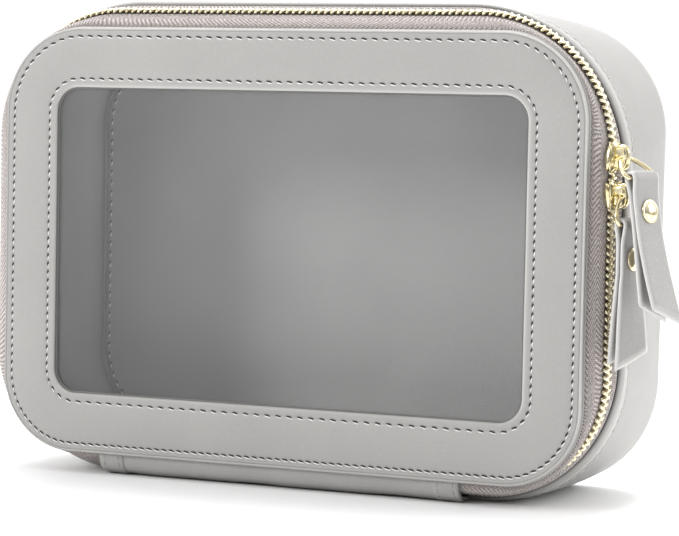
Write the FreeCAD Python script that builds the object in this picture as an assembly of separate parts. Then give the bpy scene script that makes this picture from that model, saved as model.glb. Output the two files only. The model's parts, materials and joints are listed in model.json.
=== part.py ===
"""Soft zip-around vanity case with a clear front window and a lid hinged along its bottom edge.

Units are millimetres. X runs to the right, Y runs from the front face to the back, Z is up.
The origin is on the surface the case stands on, half way across its width and its depth.
A "set-back" below is a distance behind the flat front face of the lid.
Every size that can be set by itself is named here once, and all other sizes follow from them.
"""
import math
import os
from collections import namedtuple

import FreeCAD
import Part

# ---------------------------------------------------------------- driving sizes: the whole case
CASE_DEPTH = 71.0
PANEL_WIDTH = 216.2
PANEL_HEIGHT = 149.0
PANEL_LIFT = 7.5
PANEL_TOP_RADIUS = 30.0
PANEL_BOTTOM_RADIUS = 27.0

# ---------------------------------------------------------------- the lid
LEATHER = 1.2
BOARD = 1.4
LINING = 0.6
SHOULDER = 3.0
WINDOW_SIDE_MARGIN = 20.4
WINDOW_END_MARGIN = 20.9
WINDOW_RADIUS = 8.4
WINDOW_SHEET = 0.5
WINDOW_LAP = 5.0
PANEL_WELT_RADIUS = 0.8

# ---------------------------------------------------------------- the zip
CHAIN_SET_BACK = 8.3
CHAIN_SIDE_FLARE = 5.5
CHAIN_TOP_FLARE = 5.8
CHAIN_BOTTOM_FLARE = 3.4
CHAIN_TOP_RADIUS = 46.0
CHAIN_BOTTOM_RADIUS = 40.0
COIL_WIDTH = 2.0
COIL_THICKNESS = 2.4
CHAIN_GAP = 1.2
TAPE = 0.6
TAPE_LAP = 2.0

# ---------------------------------------------------------------- the box behind the lid
RIM_BEAD_RADIUS = 1.8
RIM_SET_BACK = 15.6
RIM_SIDE_FLARE = 2.2
RIM_TOP_RADIUS = 54.0
RIM_BOTTOM_RADIUS = 46.0
BACK_SIDE_DRAW = 2.7
BACK_TOP_DRAW = 3.0
BACK_RADIUS = 39.0
BACK_ROLL = 3.0
GUSSET_BOARD = 1.0

# ---------------------------------------------------------------- the hinge along the bottom
HINGE_LENGTH = 120.0
HINGE_TAB_LENGTH = 7.0
HINGE_LEATHER = 1.4
HINGE_TAB_LEATHER = 1.8
HINGE_LIP = 3.8
HINGE_AXIS_HEIGHT = 4.3
HINGE_AXIS_SET_BACK = 4.0

# ---------------------------------------------------------------- sliders, links and pulls
SLIDER_LENGTH = 10.4
SLIDER_WIDTH = 8.8
SLIDER_PLATE = 1.4
SLIDER_BLADE_LENGTH = 3.0
SLIDER_BLADE = 0.6
SLIDER_SPACING = 12.4
BRIDGE_LENGTH = 8.0
BRIDGE_WIDTH = 2.4
BRIDGE_HOLE_LENGTH = 5.2
BRIDGE_HOLE_HEIGHT = 3.2
BRIDGE_WALL = 1.2
LINK_WIRE_RADIUS = 0.75
LINK_DROP = 9.5
LINK_CORNER_RADIUS = 2.2
UPPER_PULL_YAW = 21.0
LOWER_PULL_YAW = 12.0
PULL_WIDTH = 12.6
PULL_LEATHER = 1.6
PULL_LENGTH = 47.0
PULL_SLANT = 6.0
PULL_PINCH_DROP = 5.0
PULL_PARTING_DROP = 16.0
PULL_INNER_SHORTFALL = 1.5
RIVET_DROP = 11.0
RIVET_CAP_RADIUS = 3.9
RIVET_CAP_HEIGHT = 1.5
RIVET_POST_RADIUS = 1.3
RIVET_BASE_HEIGHT = 0.9
UPPER_LINK_TILT = 48.0
LOWER_LINK_TILT = 14.0
UPPER_PULL_LEAN = 9.5
LOWER_PULL_LEAN = 0.0
UPPER_PULL_SPREAD = 4.0
LOWER_PULL_SPREAD = 2.5
# Which edge of a pull is its longer one: 1 for the rear edge and -1 for the front edge.
UPPER_LONG_EDGE = 1
LOWER_LONG_EDGE = -1

# ---------------------------------------------------------------- clearances
SEWN_GAP = 0.1
SLIDER_CLEARANCE = 0.45
PIN_CLEARANCE = 0.15
HINGE_GAP = 0.5

Hang = namedtuple("Hang", "height nose yaw tilt lean spread longer")
Outline = namedtuple("Outline", "half_width bottom top top_radius bottom_radius")


def grown(outline, amount):
    """The outline moved outwards by amount, or inwards where it is negative."""
    return Outline(
        outline.half_width + amount,
        outline.bottom - amount,
        outline.top + amount,
        outline.top_radius + amount,
        outline.bottom_radius + amount,
    )


# ---------------------------------------------------------------- the outlines, front to back
PANEL = Outline(
    PANEL_WIDTH / 2,
    PANEL_LIFT,
    PANEL_LIFT + PANEL_HEIGHT,
    PANEL_TOP_RADIUS,
    PANEL_BOTTOM_RADIUS,
)
WINDOW = Outline(
    PANEL.half_width - WINDOW_SIDE_MARGIN,
    PANEL.bottom + WINDOW_END_MARGIN,
    PANEL.top - WINDOW_END_MARGIN,
    WINDOW_RADIUS,
    WINDOW_RADIUS,
)
CHAIN = Outline(
    PANEL.half_width + CHAIN_SIDE_FLARE,
    PANEL.bottom - CHAIN_BOTTOM_FLARE,
    PANEL.top + CHAIN_TOP_FLARE,
    CHAIN_TOP_RADIUS,
    CHAIN_BOTTOM_RADIUS,
)
RIM = Outline(
    CHAIN.half_width + RIM_SIDE_FLARE,
    RIM_BEAD_RADIUS,
    CHAIN.top + RIM_SIDE_FLARE,
    RIM_TOP_RADIUS,
    RIM_BOTTOM_RADIUS,
)
GUSSET_FRONT = Outline(
    RIM.half_width + LEATHER / 2,
    0.0,
    RIM.top + LEATHER / 2,
    RIM_TOP_RADIUS,
    RIM_BOTTOM_RADIUS,
)
BACK = Outline(
    RIM.half_width - BACK_SIDE_DRAW,
    0.0,
    RIM.top - BACK_TOP_DRAW,
    BACK_RADIUS,
    BACK_RADIUS,
)

# ---------------------------------------------------------------- the two sliders at rest
UPPER_SLIDER_HEIGHT = CHAIN.top - CHAIN_TOP_RADIUS
LOWER_SLIDER_HEIGHT = UPPER_SLIDER_HEIGHT - SLIDER_SPACING
UPPER = Hang(
    UPPER_SLIDER_HEIGHT,
    -1,
    UPPER_PULL_YAW,
    UPPER_LINK_TILT,
    UPPER_PULL_LEAN,
    UPPER_PULL_SPREAD,
    UPPER_LONG_EDGE,
)
LOWER = Hang(
    LOWER_SLIDER_HEIGHT,
    1,
    LOWER_PULL_YAW,
    LOWER_LINK_TILT,
    LOWER_PULL_LEAN,
    LOWER_PULL_SPREAD,
    LOWER_LONG_EDGE,
)

# ---------------------------------------------------------------- set-backs that follow from the sizes
LID_BOARD_FACE = LEATHER
LID_LINING_FACE = LID_BOARD_FACE + BOARD
WELT_SET_BACK = SHOULDER + PANEL_WELT_RADIUS + SEWN_GAP
TAPE_FACE = WELT_SET_BACK + PANEL_WELT_RADIUS + SEWN_GAP
FRONT_COIL_BACK = CHAIN_SET_BACK - CHAIN_GAP / 2
FRONT_COIL_FACE = FRONT_COIL_BACK - COIL_WIDTH
REAR_COIL_FACE = CHAIN_SET_BACK + CHAIN_GAP / 2
REAR_COIL_BACK = REAR_COIL_FACE + COIL_WIDTH
RIM_FACE = RIM_SET_BACK - RIM_BEAD_RADIUS
GUSSET_FACE = RIM_SET_BACK + RIM_BEAD_RADIUS + SEWN_GAP
BACK_FACE = CASE_DEPTH - BACK_ROLL
HINGE_REACH = HINGE_LENGTH / 2 + HINGE_TAB_LENGTH


def depth(set_back):
    """Y of a set-back."""
    return set_back - CASE_DEPTH / 2


def point(x, set_back, z):
    """The point at x, a set-back and z."""
    return FreeCAD.Vector(x, depth(set_back), z)


def outline_wire(outline, set_back):
    """A closed rounded rectangle standing upright at a set-back, starting at the bottom."""
    edges = []
    right = outline.half_width
    low = outline.bottom_radius
    high = outline.top_radius
    corners = [
        (right - low, outline.bottom + low, low, -90.0),
        (right - high, outline.top - high, high, 0.0),
        (high - right, outline.top - high, high, 90.0),
        (low - right, outline.bottom + low, low, 180.0),
    ]
    arcs = [corner_points(*corner, set_back) for corner in corners]
    for number, arc in enumerate(arcs):
        following = arcs[(number + 1) % len(arcs)]
        edges.append(Part.Arc(*arc).toShape())
        edges.append(Part.makeLine(arc[2], following[0]))
    return Part.Wire(edges)


def corner_points(x, z, radius, start, set_back):
    """Start, middle and end of a quarter circle about x and z, anticlockwise from start degrees."""
    angles = [math.radians(start + turn) for turn in (0.0, 45.0, 90.0)]
    return [point(x + radius * math.cos(a), set_back, z + radius * math.sin(a)) for a in angles]


def slab(outline, face, back):
    """An upright plate of an outline between two set-backs."""
    sheet = Part.Face(outline_wire(outline, face))
    return sheet.extrude(FreeCAD.Vector(0, back - face, 0))


def frame(outer, inner, face, back):
    """An upright plate with an opening."""
    return slab(outer, face, back).cut(slab(inner, face - 1, back + 1))


def taper(front, face, rear, back):
    """A straight-sided body from one outline to another."""
    return Part.makeLoft([outline_wire(front, face), outline_wire(rear, back)], True, True)


def taper_wall(front, face, rear, back, thickness):
    """The wall of that thickness inside such a body."""
    hollow = taper(grown(front, -thickness), face, grown(rear, -thickness), back)
    return taper(front, face, rear, back).cut(hollow)


def flared_tape(start, face, end, back):
    """Woven tape sewn flat to one outline that flares or draws in to a flat lip on another."""
    lap = grown(start, -TAPE_LAP)
    near = back - TAPE
    cloth = taper(start, face, end, near).fuse(slab(end, near, back))
    cloth = cloth.cut(taper(start, face + TAPE, end, back))
    return cloth.cut(slab(lap, face - 1.0, back + 1.0))


def bead(outline, set_back, radius):
    """A round cord that runs along an outline."""
    path = outline_wire(outline, set_back)
    start = path.OrderedVertexes[0].Point
    tangent = path.OrderedEdges[0].tangentAt(path.OrderedEdges[0].FirstParameter)
    section = Part.Wire(Part.makeCircle(radius, start, tangent))
    return swept(path, section)


def swept(path, section):
    """A solid with one section all along a path."""
    sweep = Part.BRepOffsetAPI.MakePipeShell(path)
    sweep.add(section)
    sweep.build()
    sweep.makeSolid()
    return sweep.shape()


def block(x_low, x_high, face, back, z_low, z_high):
    """A box between limits across, in set-back and in height."""
    corner = point(x_low, face, z_low)
    return Part.makeBox(x_high - x_low, back - face, z_high - z_low, corner)


def hinge_notch(z_high):
    """The space at the bottom that the hinge takes from the zip and its tapes."""
    reach = HINGE_REACH + SEWN_GAP
    return block(-reach, reach, 0.0, RIM_FACE + 1.0, -1.0, z_high)


# ---------------------------------------------------------------- lid pieces
def front_panel():
    """Leather frame with a rolled shoulder and a pocket behind for the board."""
    rolled = taper(grown(PANEL, -SHOULDER), 0.0, PANEL, SHOULDER)
    pocket = slab(board_pocket(), LID_BOARD_FACE, SHOULDER + 1.0)
    opening = slab(WINDOW, -1.0, SHOULDER + 1.0)
    return rolled.cut(pocket).cut(opening)


def board_pocket():
    """The outline inside the rolled edge, which the lid's inner layers fill."""
    return grown(PANEL, -SHOULDER - LEATHER / 2)


def window_sheet():
    """Clear flexible sheet sewn behind the leather around the opening."""
    return slab(grown(WINDOW, WINDOW_LAP), LID_BOARD_FACE, LID_BOARD_FACE + WINDOW_SHEET)


def lid_board():
    """Stiff frame between the leather and the lining, around the clear sheet."""
    outer = grown(board_pocket(), -SEWN_GAP)
    inner = grown(WINDOW, WINDOW_LAP + SEWN_GAP)
    return frame(outer, inner, LID_BOARD_FACE, LID_LINING_FACE)


def lid_lining():
    """Lining frame on the inside of the lid, turned in around the opening."""
    outer = grown(board_pocket(), -SEWN_GAP)
    inner = grown(WINDOW, LINING)
    return frame(outer, inner, LID_LINING_FACE, LID_LINING_FACE + LINING)


def panel_welt():
    """Thin cord sewn in between the panel and the zip tape."""
    return bead(grown(PANEL, -PANEL_WELT_RADIUS / 2), WELT_SET_BACK, PANEL_WELT_RADIUS)


def front_tape():
    """Woven tape that flares from the panel to the front half of the zip."""
    start = grown(PANEL, -PANEL_WELT_RADIUS)
    edge = grown(CHAIN, -COIL_THICKNESS / 2)
    cloth = flared_tape(start, TAPE_FACE, edge, FRONT_COIL_FACE)
    lip = frame(CHAIN, edge, FRONT_COIL_FACE - TAPE, FRONT_COIL_FACE)
    return cloth.fuse(lip).removeSplitter().cut(hinge_notch(PANEL.bottom))


def coil(face, back):
    """Half of the zip: the band that its close-set elements fill."""
    half = COIL_THICKNESS / 2
    band = frame(grown(CHAIN, half), grown(CHAIN, -half), face, back)
    return band.cut(hinge_notch(PANEL.bottom))


def hinge_leaf_lid():
    """Leather along the lid's bottom edge, which turns with the lid."""
    top = PANEL.bottom - PANEL_WELT_RADIUS - SEWN_GAP
    half = HINGE_LENGTH / 2
    front = HINGE_AXIS_SET_BACK - HINGE_LEATHER / 2
    return block(-half, half, front, front + HINGE_LEATHER, HINGE_AXIS_HEIGHT, top)


# ---------------------------------------------------------------- box pieces
def rear_tape():
    """Woven tape from the rear half of the zip to the rim."""
    start = grown(CHAIN, -SEWN_GAP)
    end = grown(RIM, -RIM_BEAD_RADIUS / 2)
    return taper_wall(start, REAR_COIL_BACK, end, RIM_FACE, TAPE).cut(hinge_notch(PANEL.bottom))


def rim_bead():
    """Rolled leather rim at the front edge of the gusset."""
    return bead(RIM, RIM_SET_BACK, RIM_BEAD_RADIUS)


def gusset():
    """Leather side wall, all the way round, from the rim to the back, flattened underneath."""
    front = GUSSET_FRONT._replace(bottom=-SEWN_GAP)
    rear = BACK._replace(bottom=-SEWN_GAP)
    wall = taper_wall(front, GUSSET_FACE, rear, BACK_FACE, LEATHER)
    reach = GUSSET_FRONT.half_width
    return wall.cut(block(-reach, reach, GUSSET_FACE - 1.0, BACK_FACE + 1.0, -1.0, 0.0))


def gusset_layer(inset, thickness, face):
    """A layer inside the gusset, that far in from its outer face, up to the back's board."""
    front = grown(GUSSET_FRONT, -inset)
    rear = grown(BACK, -inset)
    back = BACK_FACE - LINING - GUSSET_BOARD - 2 * SEWN_GAP
    return taper_wall(front, face, rear, back, thickness)


def back_panel():
    """Leather back with a rolled edge."""
    rolled = taper(BACK, BACK_FACE, grown(BACK, -BACK_ROLL), CASE_DEPTH)
    pocket = slab(back_pocket(), BACK_FACE - 1.0, CASE_DEPTH - LEATHER)
    return rolled.cut(pocket)


def back_pocket():
    """The outline inside the rolled back edge, which the back's board fills."""
    return grown(BACK, -BACK_ROLL - LEATHER / 2)


def back_board():
    """Stiff board inside the back."""
    return slab(grown(back_pocket(), -SEWN_GAP), BACK_FACE, CASE_DEPTH - LEATHER)


def back_lining():
    """Lining over the inside of the back."""
    outline = grown(BACK, -LEATHER - SEWN_GAP)
    return slab(outline, BACK_FACE - LINING - SEWN_GAP, BACK_FACE - SEWN_GAP)


def hinge_section(x_low, x_high, leather):
    """Leather under the case's front edge with a lip that rises towards the lid."""
    face = HINGE_AXIS_SET_BACK + HINGE_LEATHER / 2 + HINGE_GAP
    floor = block(x_low, x_high, face, RIM_FACE - SEWN_GAP, 0.0, leather)
    lip = block(x_low, x_high, face, face + leather, 0.0, HINGE_LIP)
    return floor.fuse(lip).removeSplitter()


def hinge_leaf_case():
    """Leather of the hinge that stays with the box."""
    half = HINGE_LENGTH / 2
    return hinge_section(-half, half, HINGE_LEATHER)


def hinge_facing():
    """Lining that faces the hinge on the inside."""
    half = HINGE_LENGTH / 2
    face = HINGE_AXIS_SET_BACK + HINGE_LEATHER * 1.5 + HINGE_GAP + SEWN_GAP
    base = HINGE_LEATHER + SEWN_GAP
    return block(-half, half, face, RIM_FACE - SEWN_GAP, base, base + LINING)


def zip_tab(side):
    """Folded leather end that holds down one end of the zip; side is -1 or 1."""
    near = side * (HINGE_LENGTH / 2 + SEWN_GAP)
    far = side * HINGE_REACH
    return hinge_section(min(near, far), max(near, far), HINGE_TAB_LEATHER)


# ---------------------------------------------------------------- sliders and pulls
def slider_body(hang):
    """Two plates about the zip, joined by a blade between its halves at the slider's nose."""
    chain = CHAIN.half_width
    gap = COIL_THICKNESS / 2 + SLIDER_CLEARANCE
    low = hang.height - SLIDER_LENGTH / 2
    high = hang.height + SLIDER_LENGTH / 2
    face = CHAIN_SET_BACK - SLIDER_WIDTH / 2
    back = CHAIN_SET_BACK + SLIDER_WIDTH / 2
    outer = block(chain + gap, chain + gap + SLIDER_PLATE, face, back, low, high)
    corners = [edge for edge in outer.Edges if is_across(edge)]
    outer = outer.makeFillet(SLIDER_WIDTH / 4, corners)
    inner_half = SLIDER_WIDTH / 4
    face = CHAIN_SET_BACK - inner_half
    back = CHAIN_SET_BACK + inner_half
    inner = block(chain - gap - SLIDER_PLATE, chain - gap, face, back, low, high)
    end = hang.height + hang.nose * SLIDER_LENGTH / 2
    start = end - hang.nose * SLIDER_BLADE_LENGTH
    face = CHAIN_SET_BACK - SLIDER_BLADE / 2
    back = CHAIN_SET_BACK + SLIDER_BLADE / 2
    blade = block(chain - gap, chain + gap, face, back, min(start, end), max(start, end))
    return outer.fuse(inner).fuse(blade).removeSplitter()


def is_across(edge):
    """Whether a straight edge runs along X."""
    ends = edge.Vertexes
    return abs(ends[0].X - ends[-1].X) > SLIDER_PLATE / 2


def bridge_base():
    """X of the slider's outer face, on which the bridge stands."""
    return CHAIN.half_width + COIL_THICKNESS / 2 + SLIDER_CLEARANCE + SLIDER_PLATE


def slider_bridge(height):
    """Arched bridge on a slider, through which the wire link hangs."""
    base = bridge_base()
    face = CHAIN_SET_BACK - BRIDGE_WIDTH / 2
    back = CHAIN_SET_BACK + BRIDGE_WIDTH / 2
    top = base + BRIDGE_HOLE_HEIGHT + BRIDGE_WALL
    half = BRIDGE_LENGTH / 2
    hole = BRIDGE_HOLE_LENGTH / 2
    arch = block(base, top, face, back, height - half, height + half)
    outside = [edge for edge in arch.Edges if is_top_end(edge, top)]
    arch = arch.makeFillet(BRIDGE_WALL, outside)
    inside = block(base - 1, top - BRIDGE_WALL, face - 1, back + 1, height - hole, height + hole)
    return arch.cut(inside)


def is_top_end(edge, top):
    """Whether an edge along Y lies at the top of the bridge."""
    first = edge.Vertexes[0]
    last = edge.Vertexes[-1]
    along = abs(first.Y - last.Y) > BRIDGE_WIDTH / 2
    return along and abs(first.X - top) < SEWN_GAP


def link_pivot(height):
    """Centre of a bridge's hole, about which the link swings."""
    return point(bridge_base() + BRIDGE_HOLE_HEIGHT / 2, CHAIN_SET_BACK, height)


def pull_axis(yaw_degrees):
    """Direction across a pull, which is also the axis of both its swings."""
    yaw = math.radians(yaw_degrees)
    return FreeCAD.Vector(math.sin(yaw), math.cos(yaw), 0)


def hanging(shape, pivot, tilt, yaw):
    """Place a shape drawn hanging below the origin and facing X, tilted out and turned, at a pivot."""
    down = shape.copy()
    down.rotate(FreeCAD.Vector(), FreeCAD.Vector(0, -1, 0), tilt)
    down.rotate(FreeCAD.Vector(), FreeCAD.Vector(0, 0, -1), yaw)
    down.translate(pivot)
    return down


def rounded_path(corners):
    """Closed wire through corners given as (y, z, radius), in the plane of Y and Z."""
    starts = []
    edges = []
    count = len(corners)
    for number, (y, z, radius) in enumerate(corners):
        here = FreeCAD.Vector(0, y, z)
        before = FreeCAD.Vector(0, *corners[number - 1][:2]) - here
        after = FreeCAD.Vector(0, *corners[(number + 1) % count][:2]) - here
        half = before.getAngle(after) / 2
        before.normalize()
        after.normalize()
        inward = before + after
        inward.normalize()
        middle = here + inward * (radius / math.sin(half) - radius)
        reach = radius / math.tan(half)
        starts.append((here + before * reach, middle, here + after * reach))
    for number, arc in enumerate(starts):
        edges.append(Part.Arc(*arc).toShape())
        edges.append(Part.makeLine(arc[2], starts[(number + 1) % count][0]))
    return Part.Wire(edges)


def wire_link(hang):
    """Wire link: narrow where it goes through the bridge, wide where it carries the leather."""
    wide = PULL_WIDTH / 2 + LINK_WIRE_RADIUS + 2 * PIN_CLEARANCE
    narrow = BRIDGE_WIDTH / 2 + LINK_WIRE_RADIUS
    waist = LINK_DROP - PULL_LEATHER - 2 * LINK_WIRE_RADIUS - PIN_CLEARANCE
    radius = LINK_CORNER_RADIUS
    corners = [
        (-wide, -LINK_DROP, radius / 2),
        (wide, -LINK_DROP, radius / 2),
        (wide, -waist, radius / 2),
        (narrow, 0.0, radius),
        (-narrow, 0.0, radius),
        (-wide, -waist, radius / 2),
    ]
    path = rounded_path(corners)
    straight = path.OrderedEdges[1]
    start = straight.valueAt(straight.FirstParameter)
    across = straight.tangentAt(straight.FirstParameter)
    section = Part.Wire(Part.makeCircle(LINK_WIRE_RADIUS, start, across))
    return hanging(swept(path, section), link_pivot(hang.height), hang.tilt, hang.yaw)


def bar_centre(hang):
    """Centre of a link's lower bar, about which the leather swings."""
    bar = Part.Vertex(FreeCAD.Vector(0, 0, -LINK_DROP))
    return hanging(bar, link_pivot(hang.height), hang.tilt, hang.yaw).Vertexes[0].Point


def on_bar(shape, hang):
    """Place a shape drawn hanging below the origin so that it hangs from a link's bar."""
    return hanging(shape, bar_centre(hang), hang.lean, hang.yaw)


def strip_side(points, side):
    """Points offset sideways by half the leather's thickness from a line of (x, z) points."""
    offset = side * PULL_LEATHER / 2
    moved = []
    for number, (x, z) in enumerate(points):
        first = points[max(number - 1, 0)]
        last = points[min(number + 1, len(points) - 1)]
        run = math.hypot(last[0] - first[0], last[1] - first[1])
        normal = ((first[1] - last[1]) / run, (last[0] - first[0]) / run)
        moved.append((x + normal[0] * offset, z + normal[1] * offset))
    return moved


def pull_tail(side, length, spread):
    """One layer of the folded strap below the bar: pinched together, then spreading apart."""
    loop = LINK_WIRE_RADIUS + PIN_CLEARANCE + PULL_LEATHER / 2
    pinch = (PULL_LEATHER + SEWN_GAP) / 2
    line = [
        (side * loop, 0.0),
        (side * pinch, -PULL_PINCH_DROP),
        (side * pinch, -PULL_PARTING_DROP),
        (side * pinch + spread, -length),
    ]
    outline = strip_side(line, 1) + strip_side(line, -1)[::-1]
    corners = [FreeCAD.Vector(x, -PULL_WIDTH / 2, z) for x, z in outline]
    sheet = Part.Face(Part.makePolygon(corners + corners[:1]))
    return sheet.extrude(FreeCAD.Vector(0, PULL_WIDTH, 0))


def pull_strap(hang):
    """Leather strap folded over the link's bar, with slanted ends and a hole for the rivet."""
    axis = FreeCAD.Vector(0, 1, 0)
    start = FreeCAD.Vector(0, -PULL_WIDTH / 2, 0)
    inside = LINK_WIRE_RADIUS + PIN_CLEARANCE
    fold = Part.makeCylinder(inside + PULL_LEATHER, PULL_WIDTH, start, axis)
    below = Part.makeBox(40, 40, 40, FreeCAD.Vector(-20, -20, -40))
    outer = pull_tail(1, PULL_LENGTH, hang.spread)
    inner = pull_tail(-1, PULL_LENGTH - PULL_INNER_SHORTFALL, 0.0)
    strap = fold.cut(below).fuse(outer).fuse(inner)
    strap = strap.cut(Part.makeCylinder(inside, PULL_WIDTH, start, axis))
    strap = strap.cut(slanted_end(hang.longer))
    hole = rivet_cylinder(RIVET_POST_RADIUS + SEWN_GAP / 2, -2 * PULL_LEATHER, 4 * PULL_LEATHER)
    strap = strap.cut(hole)
    return on_bar(strap, hang)


def slanted_end(longer):
    """The wedge cut from the strap's lower end, which leaves its longer edge uncut."""
    low = -PULL_LENGTH - 5.0
    short_edge = -longer * PULL_WIDTH
    long_edge = longer * PULL_WIDTH / 2
    corners = [
        FreeCAD.Vector(-20, short_edge, low),
        FreeCAD.Vector(-20, short_edge, PULL_SLANT - PULL_LENGTH + PULL_SLANT / 2),
        FreeCAD.Vector(-20, long_edge, -PULL_LENGTH),
        FreeCAD.Vector(-20, long_edge, low),
    ]
    sheet = Part.Face(Part.makePolygon(corners + corners[:1]))
    return sheet.extrude(FreeCAD.Vector(40, 0, 0))


def rivet_cylinder(radius, start, length):
    """A cylinder on the rivet's axis, from a distance in front of the strap's middle."""
    return Part.makeCylinder(
        radius, length, FreeCAD.Vector(start, 0, -RIVET_DROP), FreeCAD.Vector(1, 0, 0)
    )


def strap_face():
    """Distance from the pull's middle to the outer face of its pinched leather."""
    return PULL_LEATHER + SEWN_GAP / 2


def rivet_cap(hang):
    """Domed rivet head outside the strap, with its post through both layers."""
    face = strap_face() + SEWN_GAP / 2
    rise = RIVET_CAP_HEIGHT
    sphere_radius = (RIVET_CAP_RADIUS**2 + rise**2) / (2 * rise)
    centre = FreeCAD.Vector(face + rise - sphere_radius, 0, -RIVET_DROP)
    ball = Part.makeSphere(sphere_radius, centre)
    dome = ball.common(rivet_cylinder(RIVET_CAP_RADIUS, face, 2 * rise))
    post = rivet_cylinder(RIVET_POST_RADIUS, -face, 2 * face + rise / 2)
    return on_bar(dome.fuse(post).removeSplitter(), hang)


def rivet_base(hang):
    """Flat rivet head behind the strap, closed over the end of the post."""
    face = strap_face() + SEWN_GAP / 2
    disc = rivet_cylinder(RIVET_CAP_RADIUS, -face - RIVET_BASE_HEIGHT, RIVET_BASE_HEIGHT)
    edge = [e for e in disc.Edges if abs(e.CenterOfMass.x + face + RIVET_BASE_HEIGHT) < SEWN_GAP]
    disc = disc.makeFillet(RIVET_BASE_HEIGHT / 2, edge)
    return on_bar(disc, hang)


def slider_set(name, hang):
    """All pieces of one slider and its pull, by node name."""
    return {
        name + "_slider_body": slider_body(hang),
        name + "_slider_bridge": slider_bridge(hang.height),
        name + "_link": wire_link(hang),
        name + "_pull_strap": pull_strap(hang),
        name + "_rivet_cap": rivet_cap(hang),
        name + "_rivet_base": rivet_base(hang),
    }


def lid_pieces():
    """Every piece that turns with the lid."""
    return {
        "front_panel": front_panel(),
        "window_sheet": window_sheet(),
        "lid_board": lid_board(),
        "lid_lining": lid_lining(),
        "panel_welt": panel_welt(),
        "front_tape": front_tape(),
        "front_coil": coil(FRONT_COIL_FACE, FRONT_COIL_BACK),
        "hinge_leaf_lid": hinge_leaf_lid(),
    }


def box_pieces():
    """Every piece of the box behind the lid."""
    board_inset = LEATHER + SEWN_GAP
    lining_inset = board_inset + GUSSET_BOARD + SEWN_GAP
    return {
        "rear_coil": coil(REAR_COIL_FACE, REAR_COIL_BACK),
        "rear_tape": rear_tape(),
        "rim_bead": rim_bead(),
        "gusset": gusset(),
        "gusset_board": gusset_layer(board_inset, GUSSET_BOARD, GUSSET_FACE),
        "gusset_lining": gusset_layer(lining_inset, LINING, GUSSET_FACE),
        "back_panel": back_panel(),
        "back_board": back_board(),
        "back_lining": back_lining(),
        "hinge_leaf_case": hinge_leaf_case(),
        "hinge_facing": hinge_facing(),
        "zip_tab_left": zip_tab(-1),
        "zip_tab_right": zip_tab(1),
    }


def export(pieces):
    """Write one STEP file per node."""
    os.makedirs("parts", exist_ok=True)
    for node, shape in pieces.items():
        shape.exportStep("parts/" + node + ".step")


def report(pieces):
    """Print the joint places in metres and each node's solids, for the record that goes with it."""
    hinge = point(0.0, HINGE_AXIS_SET_BACK, HINGE_AXIS_HEIGHT)
    corner = CHAIN.half_width - CHAIN_TOP_RADIUS
    turn = point(corner, CHAIN_SET_BACK, CHAIN.top - CHAIN_TOP_RADIUS)
    places = {
        "lid hinge": hinge,
        "corner turn": turn,
        "upper link": link_pivot(UPPER_SLIDER_HEIGHT),
        "upper bar": bar_centre(UPPER),
        "upper axis": pull_axis(UPPER_PULL_YAW) * 1000,
        "lower link": link_pivot(LOWER_SLIDER_HEIGHT),
        "lower bar": bar_centre(LOWER),
        "lower axis": pull_axis(LOWER_PULL_YAW) * 1000,
    }
    for name, place in places.items():
        print(name, [round(value / 1000, 6) for value in place])
    for node, shape in pieces.items():
        box = shape.BoundBox
        size = [round(v, 1) for v in (box.XLength, box.YLength, box.ZLength)]
        print(node, len(shape.Solids), shape.isValid(), round(shape.Volume, 1), size)


def main():
    """Build, write and report every piece."""
    pieces = {}
    pieces.update(lid_pieces())
    pieces.update(box_pieces())
    pieces.update(slider_set("upper", UPPER))
    pieces.update(slider_set("lower", LOWER))
    export(pieces)
    report(pieces)


main()
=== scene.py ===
"""Looks of a soft zip-around vanity case with a clear front window, built round its solid frame.

Sizes are in millimetres until a mesh is made, which is in metres. X runs to the right, Y to the
back and Z up. A "set-back" is a distance behind the flat front face of the lid.
"""

import json
import logging
import math
from collections.abc import Sequence
from dataclasses import dataclass, field
from enum import Enum

import bpy
import numpy as np
from mathutils import Matrix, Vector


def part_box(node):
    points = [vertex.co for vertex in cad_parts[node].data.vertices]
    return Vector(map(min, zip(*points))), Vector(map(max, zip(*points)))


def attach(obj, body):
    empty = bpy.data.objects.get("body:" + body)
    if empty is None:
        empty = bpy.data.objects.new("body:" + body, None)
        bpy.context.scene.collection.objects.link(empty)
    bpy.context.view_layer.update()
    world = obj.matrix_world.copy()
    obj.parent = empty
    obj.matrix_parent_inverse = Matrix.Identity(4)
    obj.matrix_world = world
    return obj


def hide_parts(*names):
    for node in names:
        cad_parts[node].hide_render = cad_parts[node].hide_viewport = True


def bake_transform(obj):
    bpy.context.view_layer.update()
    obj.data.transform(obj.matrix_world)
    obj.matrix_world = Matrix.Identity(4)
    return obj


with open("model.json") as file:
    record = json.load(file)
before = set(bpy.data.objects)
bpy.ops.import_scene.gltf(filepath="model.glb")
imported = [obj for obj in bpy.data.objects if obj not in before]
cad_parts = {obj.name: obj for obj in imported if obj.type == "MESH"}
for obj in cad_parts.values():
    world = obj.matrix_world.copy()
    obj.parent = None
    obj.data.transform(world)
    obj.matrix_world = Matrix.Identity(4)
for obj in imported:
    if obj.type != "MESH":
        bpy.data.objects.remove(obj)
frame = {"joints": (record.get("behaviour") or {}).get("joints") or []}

Array = np.ndarray
Face = list[int]
MM = 0.001
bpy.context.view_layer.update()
FRONT_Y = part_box("front_panel")[0].y / MM
LOG = logging.getLogger("vanity_case")
Y_AXIS = np.array([0.0, 1.0, 0.0])


class Body(Enum):
    """The moving groups of the frame."""

    CASE = "case"
    LID = "lid"
    UPPER_SLIDER = "upper_slider"
    UPPER_LINK = "upper_link"
    UPPER_PULL = "upper_pull"
    LOWER_SLIDER = "lower_slider"
    LOWER_LINK = "lower_link"
    LOWER_PULL = "lower_pull"


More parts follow.
